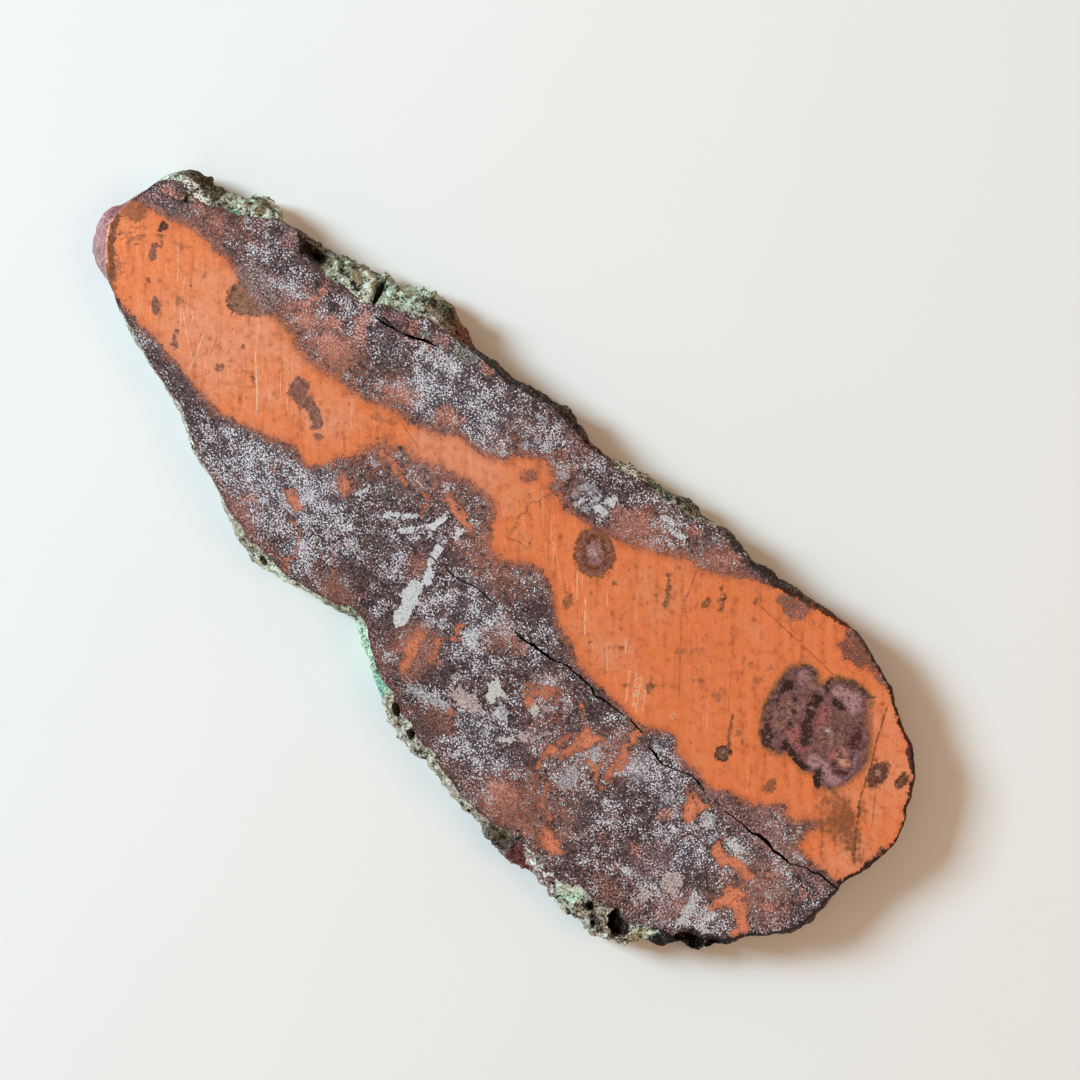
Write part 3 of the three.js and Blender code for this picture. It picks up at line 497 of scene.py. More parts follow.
# Where painted shadow lies as a broken black line along the polished face's edge, mostly round the wide end
# away from the window: middle, reach, strength
EDGE_SHADOW_SPOTS = [
    (66, 34, 5, 0.8), (74, 30, 5, 1.0), (81, 26, 4, 1.0), (85.5, 21, 4, 1.0), (88.5, 15, 4, 1.0),
    (89, 8, 4, 1.0), (87.5, 2, 4, 1.0), (87.5, -5, 5, 1.0), (85.5, -12, 5, 1.0), (80, -18.5, 4, 1.0),
    (74, -23, 3, 0.6), (55, 35, 6, 0.7), (44, 32.5, 6, 0.7), (33, 32, 5, 0.6), (-84.5, 8, 3, 0.6),
    (-12, 27, 8, 0.6), (-20, 26.2, 5, 0.6),
]

# Where the polishing left more scratches: middle, reach, strength
SCUFFED = [
    (-66, -3, 3, 0.2), (-59, -7, 3, 0.15), (-47, -4, 4, 0.9), (-41, -2, 3, 0.5), (17.5, 8, 3, 0.8),
    (22.5, 5, 3, 1.0), (31, 6, 2, 0.8), (38.5, 2, 3.6, 1.2), (11, 9, 3, 0.7), (23, 10, 2, 0.5),
    (-78, 0, 4, 0.3), (10, 12, 8, 0.3), (50, 12, 10, 0.25), (80, 8, 8, 0.3), (30, 12, 8, 0.25),
]

# Marks and crystals, in the order they are laid. Each is a shape, a colour, how strong it is and
# how many millimetres its edge takes to fade.
WHITE = tint(210, 209, 209)
DUSK = tint(62, 48, 54)
ROSY = tint(206, 180, 172)
GREY = tint(178, 176, 182)
CRYSTALS = [
    ("patch", WHITE, 0.9, 0.3,
     [(10.8, 20.4), (11.2, 23.6), (12, 24), (12.9, 23.7), (13.3, 21), (12.6, 19.9), (11.6, 19.6)]),
    ("patch", GREY, 0.6, 0.35,
     [(5.6, 19.5), (6.6, 22.4), (8.5, 23), (10, 22.6), (10.6, 20.5), (10.2, 18.4), (8.6, 17.6), (6.8, 18)]),
    ("stroke", DUSK, 0.8, 0.2, (0.32, [(6.9, 17.9), (7.6, 20.2), (7.9, 22.8)])),
    ("stroke", DUSK, 0.8, 0.2, (0.3, [(8.7, 17.9), (9.1, 20), (9.3, 22.6)])),
    ("stroke", DUSK, 0.7, 0.2, (0.28, [(5.8, 20.6), (8, 20.2), (10.2, 19.8)])),
    ("stroke", DUSK, 0.7, 0.2, (0.26, [(11, 21.8), (13.2, 21.6)])),
    ("stroke", WHITE, 0.8, 0.2, (0.7, [(8.2, 18.4), (8.5, 19.8)])),
    ("stroke", WHITE, 0.7, 0.2, (0.6, [(9.7, 20.6), (9.9, 22)])),
    ("patch", GREY, 0.6, 0.3, [(1.3, 20.8), (3, 21.3), (4.3, 21.3), (3.6, 20.2), (2.4, 19.6)]),
    ("patch", WHITE, 0.8, 0.25, [(19.8, 27.2), (21.2, 27.9), (23, 27.9), (22.6, 27), (21, 26.5)]),
    ("patch", WHITE, 0.8, 0.25,
     [(22.2, 26.2), (24, 26.6), (25.5, 27.6), (26.6, 27.9), (26, 26.9), (24.4, 25.8), (23, 25.6)]),
    ("spot", GREY, 0.6, 0.4, (-4.5, 21.7, 1.0, 0.7, 20)),
    ("spot", GREY, 0.6, 0.4, (-5.3, 19.6, 0.9, 0.7, 0)),
    ("spot", GREY, 0.6, 0.4, (-2.8, 22.7, 0.9, 0.6, 40)),
    ("spot", GREY, 0.6, 0.4, (-6.7, 25, 1.0, 0.7, 0)),
    ("patch", WHITE, 1.0, 0.25,
     [(-4.8, -2.8), (-3.7, -2.9), (-3.4, -4.6), (-3.3, -6), (-2.5, -7.3), (-1.4, -8), (-1.3, -9.4),
      (-2.2, -9.9), (-2.9, -9.3), (-3.5, -7.8), (-4.4, -6.2), (-5, -4.6)]),
    ("patch", WHITE, 1.0, 0.3,
     [(-3.1, -10), (-1.7, -10), (-1, -11.8), (-0.3, -13.8), (0.2, -16), (0.3, -18.3), (-0.6, -19),
      (-1.6, -18.4), (-2.2, -16.8), (-3.1, -14.8), (-3.9, -13), (-3.7, -11)]),
    ("stroke", WHITE, 1.0, 0.25, (1.0, [(-7.6, -2.2), (-7.5, 0.9)])),
    ("spot", WHITE, 0.95, 0.3, (-3.5, 0.7, 0.8, 1.1, 0)),
    ("stroke", WHITE, 0.95, 0.25, (0.9, [(-11.1, -1.9), (-12.4, -3.7)])),
    ("stroke", WHITE, 0.95, 0.25, (0.9, [(-9.9, -4), (-11.2, -5.9)])),
    ("stroke", WHITE, 0.95, 0.25, (0.8, [(-13.6, -4.2), (-15.2, -5.8)])),
    ("spot", WHITE, 0.8, 0.3, (-7, -3, 0.7, 0.6, 0)),
    ("patch", WHITE, 0.75, 0.5, [(-21.8, -6.8), (-20, -6.6), (-20.4, -4.4), (-21, -3.8), (-21.2, -5)]),
    ("spot", GREY, 0.6, 0.4, (-22.7, -0.3, 0.8, 0.8, 0)),
    ("patch", CHALK, 1.0, 0.35,
     [(18.1, -13), (19.5, -13.3), (20.8, -14), (22, -14.6), (21.5, -15.8), (21.2, -17.2), (21.5, -19),
      (21, -20.8), (20.3, -20), (20.1, -18), (19.2, -16.5), (18.4, -15)]),
    ("patch", ROSY, 0.75, 0.8,
     [(14.5, -18.5), (18, -18.3), (20, -18.2), (20.3, -20.5), (19, -21.2), (17, -21.5), (15.5, -22),
      (14, -21)]),
    ("patch", WHITE, 0.7, 0.8, [(21.5, -16), (25, -16.4), (25, -18.4), (21.8, -18.4)]),
    ("spot", CHALK, 0.85, 0.4, (26.8, -13, 1.5, 0.9, -30)),
    ("spot", GREY, 0.6, 0.4, (28.6, -11.5, 0.7, 1.4, 10)),
    ("spot", ROSY, 0.8, 0.4, (29, -17.8, 1.1, 0.9, 40)),
    ("spot", GREY, 0.6, 0.4, (23.3, -22, 0.9, 0.8, 0)),
    ("stroke", CHALK, 0.9, 0.3, (1.1, [(26.3, -20.9), (27.7, -19.4)])),
    ("stroke", WHITE, 0.5, 0.8, (2.2, [(9, -24.8), (12, -23.8), (15.5, -22.8)])),
    ("stroke", GREY, 0.6, 0.3, (0.8, [(31.5, -14), (30.5, -17)])),
    ("spot", WHITE, 0.7, 0.6, (10.4, -11.2, 1.6, 1.2, -30)),
    ("spot", GREY, 0.6, 0.7, (39.5, -17.5, 1.4, 2.4, 0)),
    ("spot", GREY, 0.6, 0.3, (41.7, -13, 0.8, 0.6, 0)),
    ("spot", GREY, 0.6, 0.5, (40, -11, 1.5, 0.9, 30)),
    ("patch", GREY, 0.6, 0.4, [(46, -2.6), (49, -2.4), (49, -3.7), (46, -3.6)]),
    ("spot", GREY, 0.35, 0.9, (47.5, -7.6, 2.2, 3.0, 0)),
    ("ring", DUSK, 0.85, 0.4, (-15.8, 2.5, 3.0, 2.1, 0, 0.6)),
    ("spot", GREY, 0.6, 0.7, (54.3, -8.4, 1.2, 1.4, 0)),
    ("spot", WHITE, 0.6, 0.6, (62.4, -6, 1.3, 1.7, 0)),
    ("spot", GREY, 0.6, 0.5, (65, -8, 0.8, 1.5, 0)),
    ("spot", WHITE, 0.8, 0.4, (69.3, -6.3, 1.5, 0.9, 10)),
    ("spot", ROSY, 0.75, 0.5, (65.2, -18.5, 1.7, 2.0, 10)),
    ("spot", ROSY, 0.7, 0.5, (63.2, -23.5, 1.1, 1.8, 0)),
    ("patch", WHITE, 0.75, 0.35,
     [(69, -16.7), (70.2, -17), (71, -19), (72, -21.4), (71.6, -23.2), (70.4, -22.6), (69.6, -20.6),
      (69, -18.6)]),
    ("spot", WHITE, 0.8, 0.4, (74.1, -18, 0.9, 1.4, 0)),
    ("spot", WHITE, 0.75, 0.4, (74.6, -20.8, 1.5, 0.7, 0)),
    ("spot", WHITE, 0.8, 0.4, (58, -22.3, 1.0, 0.7, 0)),
    ("spot", TEAL, 0.5, 0.4, (-31.5, 22.3, 0.7, 0.6, 0)),
]

# Soft stretches of tone in the rock, below its specks
SALMON = tint(222, 134, 108)
BRICK = tint(146, 82, 68)
MULBERRY = tint(166, 108, 102)
MAUVE = tint(150, 114, 106)
LEAF = tint(116, 124, 108)
TONES = [
    ("patch", MAUVE, 0.8, 1.2, [(-63.4, 10.4), (-58, 11), (-54, 10), (-53.6, 6.6), (-59, 6.4), (-62.6, 7)]),
    ("patch", MULBERRY, 0.75, 1.2,
     [(-84, 11.6), (-78, 11.6), (-70.5, 13.6), (-70, 8.6), (-78, 6.6), (-84.4, 5)]),
    ("spot", SALMON, 0.8, 0.9, (-80.6, 9.8, 2.2, 1.2, 10)),
    ("spot", SALMON, 0.8, 0.9, (-71.6, 11.2, 2.0, 1.6, 0)),
    ("spot", SALMON, 0.7, 0.8, (-75.6, 11, 1.4, 1.0, 0)),
    ("spot", DUSK, 0.45, 0.9, (-76.6, 8.8, 2.4, 0.9, 10)),
    ("spot", MULBERRY, 0.85, 0.6, (-60, 18, 1.4, 1.9, -20)),
    ("stroke", SALMON, 0.95, 0.4, (1.1, [(-50, 17.4), (-49.6, 15.4), (-50, 12.6), (-50.6, 10)])),
    ("patch", SALMON, 0.75, 1.0,
     [(-42.6, 19.2), (-40.6, 17.6), (-38, 15), (-36.5, 12.6), (-41, 12.6), (-42, 15.5)]),
    ("spot", SALMON, 0.85, 1.4, (-42.6, 9.8, 4.2, 2.2, 0)),
    ("spot", SALMON, 0.8, 0.8, (-44.8, 12.6, 1.6, 1.1, 0)),
    ("spot", SALMON, 0.7, 0.9, (-48, 9.6, 2.0, 1.2, 0)),
    ("spot", BRICK, 0.8, 0.8, (-37, 20.6, 1.7, 1.1, 20)),
    ("spot", SALMON, 0.8, 0.6, (-33.7, 21.4, 1.3, 0.8, 10)),
    ("spot", MULBERRY, 0.85, 0.7, (-28.4, 23.5, 2.3, 1.3, 25)),
    ("spot", LEAF, 0.85, 0.6, (-23.6, 24.3, 2.6, 1.1, 15)),
    ("spot", SALMON, 0.7, 0.8, (-19.4, 24.9, 1.3, 1.0, 0)),
    ("spot", DUSK, 0.7, 1.2, (-34.4, 16, 3.0, 1.5, -10)),
    ("spot", SALMON, 0.75, 1.0, (-18.6, 14.2, 2.4, 1.6, 30)),
    ("spot", SALMON, 0.6, 1.0, (-27, 11.6, 3.0, 1.2, 20)),
    ("spot", MULBERRY, 0.6, 1.2, (1, 26, 3.6, 1.4, 0)),
    ("spot", SALMON, 0.6, 1.4, (16.6, 22.4, 3.4, 2.4, 30)),
    ("spot", SALMON, 0.7, 0.8, (26.4, 29, 1.6, 1.0, 0)),
    ("spot", DUSK, 0.8, 0.8, (29.9, 29.6, 1.3, 1.2, 0)),
    ("spot", SALMON, 0.6, 1.0, (33, 28.6, 2.6, 1.2, 25)),
    ("spot", MULBERRY, 0.6, 1.0, (47.6, 31, 2.6, 1.8, 0)),
    ("patch", BRICK, 0.8, 1.0,
     [(-48, -19.6), (-40, -21), (-33, -22.8), (-27, -23.4), (-20, -23.4), (-20, -25), (-30, -25.2),
      (-40, -22.4), (-50, -18.6)]),
    ("patch", BRICK, 0.85, 1.0,
     [(-12, -21), (-6, -20.6), (-2, -22), (4, -25.4), (8, -27), (14, -28.4), (14, -29.6), (4, -27.6),
      (-4, -22.6), (-10, -22.8)]),
    ("patch", BRICK, 0.9, 0.8,
     [(2, -15), (5, -14.4), (8, -16), (9, -20), (8.6, -24.6), (6.4, -25.6), (3.4, -21.4), (1.6, -18)]),
    ("patch", BRICK, 0.8, 0.8,
     [(14, -24.6), (17, -23), (19.4, -24.4), (19.6, -28), (21, -30.4), (16, -29.6), (13.4, -26.6)]),
    ("patch", DARK_BROWN_AND_SHADE, 0.5, 0.7,
     [(12.6, -25.6), (15.6, -25.6), (19, -27.4), (18.8, -29.7), (15, -29.5), (12.8, -27.6)]),
    ("patch", BRICK, 0.6, 1.2, [(22, -30.6), (30, -31.8), (34, -32), (35, -30), (29, -29), (22, -29)]),
    ("spot", BRICK, 0.8, 1.0, (59, -27.6, 4.0, 1.6, -10)),
    ("spot", BRICK, 0.7, 1.0, (65, -25.6, 3.0, 1.4, 25)),
    ("spot", SALMON, 0.9, 0.9, (33.6, -27.4, 3.0, 2.0, -10)),
    ("spot", SALMON, 0.6, 0.9, (39.4, -28.6, 2.2, 1.6, 0)),
    ("spot", SALMON, 0.3, 0.8, (25.4, -10, 2.4, 1.3, 40)),
    ("spot", SALMON, 0.6, 0.8, (17, -6.8, 2.0, 1.0, 10)),
    ("spot", BRICK, 0.6, 1.0, (13.4, -9.6, 3.0, 1.6, 10)),
    ("spot", BRICK, 0.8, 0.7, (-4.8, -8.6, 1.2, 3.0, 10)),
    ("patch", BRICK, 0.6, 0.8, [(40, -3.6), (42, -3.4), (42.6, -7.6), (41, -8.6), (40.6, -6)]),
    ("spot", SALMON, 0.6, 0.9, (-28.4, -14.8, 2.2, 1.0, 10)),
    ("spot", SALMON, 0.6, 0.6, (-35, -13, 0.9, 0.6, 0)),
    ("spot", SALMON, 0.6, 0.6, (-34.2, -19.4, 1.0, 0.8, 0)),
    ("spot", BRICK, 0.8, 0.8, (-10, -19.6, 1.8, 1.0, 20)),
    ("spot", DUSK, 0.45, 1.2, (-13.6, -17, 2.0, 2.6, 30)),
    ("spot", DUSK, 0.45, 1.2, (-11.6, -10.6, 2.6, 2.6, 0)),
    ("spot", DUSK, 0.45, 1.0, (29.6, -20.6, 1.6, 2.6, 20)),
    ("spot", DUSK, 0.45, 1.0, (46, -20.6, 2.0, 2.2, 0)),
    ("spot", DUSK, 0.5, 1.0, (-15, -2.4, 3.4, 1.6, 0)),
    ("patch", MULBERRY, 0.7, 1.2,
     [(56, -1.8), (66, -0.4), (68, 2), (72, 2), (77, -0.4), (86, -0.6), (86, -3), (76, -3.4), (62, -4)]),
    ("patch", MULBERRY, 0.6, 1.4, [(76, -4), (86, -4), (86, -9), (83, -13), (79, -13), (76, -9)]),
    ("spot", SALMON, 0.7, 0.7, (76.2, -5.6, 1.6, 0.9, 20)),
    ("spot", SALMON, 0.7, 0.7, (83.4, -4.4, 1.5, 0.9, -20)),
    ("spot", SALMON, 0.7, 0.7, (80.2, -10, 1.6, 1.0, 30)),
    ("spot", DUSK, 0.6, 0.7, (74.6, -5.4, 1.1, 1.1, 0)),
    ("spot", DUSK, 0.6, 0.7, (85.2, -7.4, 0.9, 1.6, 0)),
    ("spot", MAUVE, 0.7, 0.8, (80, -6.6, 1.8, 1.2, 0)),
    ("spot", MULBERRY, 0.4, 1.2, (60, -17.6, 3.0, 4.0, 0)),
    ("spot", MULBERRY, 0.6, 1.2, (68, -22, 2.4, 3.4, 0)),
    ("spot", SALMON, 0.7, 0.8, (56.6, -10.4, 1.0, 1.6, -10)),
    ("spot", SALMON, 0.7, 0.7, (56.4, -18.4, 0.8, 0.9, 0)),
]

# Stains and oxide spots in the copper
PLUM = tint(120, 78, 78)
WINE = tint(78, 32, 32)
ROSE = tint(170, 96, 90)
LAVENDER = tint(176, 130, 130)
SLATE = tint(150, 134, 140)
TAN = tint(156, 108, 92)
CORAL = tint(206, 146, 116)
OAK = tint(118, 70, 42)
SMUDGE = tint(132, 90, 62)
UMBER = tint(124, 82, 72)
HALO = tint(126, 84, 50)
DRAB = tint(150, 102, 76)
CHAR = tint(48, 20, 14)
MALLOW = tint(160, 110, 106)

# The outline of the large oxide spot near the wide end
LARGE_SPOT = [
    (54.8, 21.5), (54.9, 23.3), (55.8, 24.7), (57.2, 25.4), (58.7, 25.3), (60, 24.2), (60.9, 24.5),
    (61.2, 25.3), (61.4, 26.2), (62.3, 27.3), (63.8, 28), (65.5, 28.6), (67.2, 28.9), (68.4, 28.4),
    (69.3, 26.8), (70.4, 25.2), (72, 23.9), (73.7, 22.5), (74.9, 21.1), (75.6, 19.6), (75.9, 17.8),
    (75.6, 16), (75.2, 14.5), (74.4, 12.8), (73.2, 11.6), (72.2, 11.2), (71.2, 12.4), (69.8, 12.3),
    (68.2, 11.4), (66.6, 11.9), (64.3, 12), (63.8, 11.1), (62.6, 10.3), (61, 10), (59.5, 10.6),
    (58.4, 11.8), (57.2, 13.3), (56.2, 15), (55.5, 17), (55.1, 19.2),
]

# Marks on the copper, in the order they are laid
STAINS = [
    ("patch", DRAB, 1.0, 0.5,
     [(-62.8, 8), (-61.9, 6.5), (-61.6, 5), (-61.2, 3.8), (-60.6, 2.9), (-59.5, 2.1), (-58.6, 1.5),
      (-57.8, 2.3), (-57, 2.8), (-56, 3.2), (-55, 4), (-54, 5.6), (-54, 8)]),
    ("patch", PLUM, 0.97, 0.4, LARGE_SPOT),
    ("spot", OAK, 0.9, 0.5, (16.1, 14.3, 4.6, 3.6, -47)),
    ("patch", UMBER, 0.9, 0.4,
     [(-43.3, 1.5), (-41.6, 2), (-40.6, 2.2), (-39.6, 0.9), (-39.1, 0.5), (-37.3, 0.3), (-35.7, 0.1),
      (-34.5, -0.8), (-33.6, -2.1), (-33.9, -3), (-34.7, -3.5), (-35.5, -2.9), (-36.8, -2), (-38.3, -1.8),
      (-40.1, -2.1), (-41.9, -1.8), (-42.9, -0.3)]),
    ("spot", OAK, 0.7, 0.9, (-82.8, 3, 1.7, 2.3, -30)),
    ("stroke", OAK, 0.6, 0.3, (0.4, [(-82.6, -1.4), (-80.4, 0.8)])),
    ("stroke", OAK, 0.6, 0.3, (0.35, [(-82, 0.4), (-80, 2.4)])),
    ("stroke", OAK, 0.6, 0.3, (0.35, [(-81.4, -1.6), (-79, 0.8)])),
    ("stroke", OAK, 0.6, 0.3, (0.35, [(-80.4, -2), (-78.6, -0.2)])),
    ("spot", UMBER, 0.55, 0.8, (-79, -5.8, 1.8, 1.2, -40)),
    ("stroke", OAK, 0.9, 0.4,
     (1.1, [(-84.6, 0.4), (-84.1, -1.2), (-82.2, -3.8), (-79.8, -6.4), (-77.8, -8)])),
    ("stroke", OAK, 0.45, 0.5, (0.8, [(-74, 3.5), (-72.6, 4.6), (-71.6, 5.3)])),
    ("stroke", OAK, 0.5, 0.4, (1.0, [(-28.3, 5.6), (-24.8, 6.9)])),
    ("spot", OAK, 0.85, 0.5, (78.5, 19.7, 1.8, 2.8, 14)),
    ("spot", OAK, 1.0, 0.4, (82.4, 21.7, 0.9, 1.8, 10)),
    ("spot", BARK, 0.9, 0.35, (56.4, 4, 1.35, 1.35, 0)),
    ("stroke", OAK, 0.7, 0.4, (0.7, [(53.1, 10), (54.6, 7.4), (56.2, 5.8)])),
    ("spot", OAK, 0.8, 0.4, (66.2, 5.3, 1.0, 1.4, 0)),
    ("spot", OAK, 0.6, 0.5, (48.9, 10.5, 1.0, 0.8, 0)),
    ("spot", OAK, 0.7, 0.3, (56, 8.6, 0.6, 0.5, 0)),
    ("spot", OAK, 0.7, 0.3, (57.5, 7.9, 0.5, 0.5, 0)),
    ("spot", OAK, 0.6, 0.3, (44.8, 10.6, 0.7, 0.6, 0)),
    ("spot", OAK, 0.6, 0.3, (52, 17.5, 0.8, 0.6, 0)),
    ("spot", OAK, 0.6, 0.3, (49.3, 18.6, 0.6, 0.6, 0)),
    ("spot", OAK, 0.6, 0.3, (52, 20.5, 0.6, 0.8, 0)),
    ("patch", WINE, 0.95, 0.3,
     [(78.6, 27.6), (79.8, 27.5), (81.5, 26.2), (83.3, 24.6), (82.3, 24), (80.8, 24.8), (79.4, 25.9)]),
    ("stroke", WINE, 0.9, 0.3, (0.9, [(84, 24), (85.2, 21.5)])),
    # Painted shadow: a black stroke along the shaded edge of the wide end
    ("stroke", BLACK_MARK_AND_SHADE, 0.8, 0.4, (1.0, [(88.2, 10.5), (88.5, 8.4), (88, 6.4)])),
    ("spot", OAK, 0.8, 0.3, (22.1, 12.7, 0.55, 0.55, 0)),
    ("stroke", OAK, 0.85, 0.35, (0.9, [(28.8, 19.6), (30.8, 17.2), (31.3, 15.8)])),
    ("spot", OAK, 0.8, 0.3, (28.3, 20.4, 0.5, 0.5, 0)),
    ("spot", OAK, 0.8, 0.3, (36.3, 21.2, 0.7, 1.1, 0)),
    ("stroke", OAK, 0.8, 0.3, (0.6, [(36.8, 24.8), (37.8, 22.8)])),
    ("stroke", OAK, 0.8, 0.3, (0.6, [(38, 24.2), (39, 21.8)])),
    ("stroke", OAK, 0.8, 0.3, (0.4, [(24.9, 17.6), (25.7, 16.2)])),
    ("spot", OAK, 0.6, 0.3, (29, 16.2, 0.4, 0.4, 0)),
    ("stroke", OAK, 0.7, 0.35, (0.6, [(0.7, 13.6), (1.8, 13.1), (2.4, 12.3)])),
    ("stroke", OAK, 0.7, 0.35, (0.6, [(2, 13.2), (3, 14.8), (3.4, 16.5)])),
    ("stroke", OAK, 0.6, 0.35, (0.5, [(2.2, 12), (2.3, 9.5), (3, 7)])),
    ("stroke", OAK, 0.6, 0.3, (0.4, [(3.4, 6.1), (7, 6.9)])),
    ("spot", OAK, 0.8, 0.3, (6.9, 7.9, 0.5, 0.5, 0)),
    ("spot", OAK, 0.75, 0.4, (18.4, 4.9, 1.0, 1.3, 0)),
    ("spot", OAK, 0.75, 0.4, (39.3, 3.9, 0.9, 1.1, 0)),
    ("spot", OAK, 0.7, 0.3, (31, 5.5, 0.45, 0.45, 0)),
    ("spot", OAK, 0.7, 0.3, (26.1, 2.4, 0.4, 0.4, 0)),
    ("spot", OAK, 0.7, 0.3, (35.9, 1.1, 0.6, 0.5, 0)),
    ("spot", OAK, 0.7, 0.3, (42.6, 27.1, 0.6, 0.5, 0)),
    ("spot", OAK, 0.5, 0.3, (43, 23, 0.4, 0.4, 0)),
    ("spot", OAK, 0.5, 0.3, (27.3, 9.3, 0.4, 0.4, 0)),
    ("spot", OAK, 0.5, 0.3, (20.4, 9.1, 0.4, 0.4, 0)),
    ("spot", OAK, 0.6, 0.3, (42.7, 14.5, 0.5, 0.4, 0)),
    ("stroke", OAK, 0.35, 0.5, (1.4, [(38.3, 11.5), (41.5, 14.5)])),
    ("stroke", CHAR, 0.95, 0.4, (1.4, [(-77.8, 5), (-77.4, 3.6)])),
    ("stroke", OAK, 0.8, 0.4, (0.7, [(-77, 3.2), (-75.8, 1.9)])),
    ("stroke", UMBER, 0.9, 0.3, (1.0, [(-76.7, 1.0), (-75.4, -0.5)])),
    ("stroke", OAK, 0.8, 0.3, (0.5, [(-67.8, 1.2), (-66.3, -0.1)])),
    ("spot", OAK, 0.8, 0.3, (-53.2, -1.3, 0.5, 0.5, 0)),
    ("stroke", UMBER, 0.9, 0.35, (1.3, [(-70, -5.5), (-68.4, -7.1)])),
    ("stroke", UMBER, 0.9, 0.35, (1.1, [(-63.6, -7.2), (-61.8, -9.4)])),
    ("spot", OAK, 0.8, 0.3, (-73.1, -4, 0.5, 0.5, 0)),
    ("spot", OAK, 0.6, 0.3, (-71.6, -2.6, 0.5, 0.5, 0)),
    ("spot", OAK, 0.8, 0.35, (-53.8, -6.7, 0.7, 0.7, 0)),
    ("spot", UMBER, 0.8, 0.3, (-32.8, -3.8, 0.8, 0.7, 0)),
    ("stroke", OAK, 0.8, 0.3, (0.7, [(-49.2, -3.6), (-47.4, -4.8)])),
    ("spot", OAK, 0.6, 0.4, (-66.8, -3, 0.9, 0.9, 0)),
]
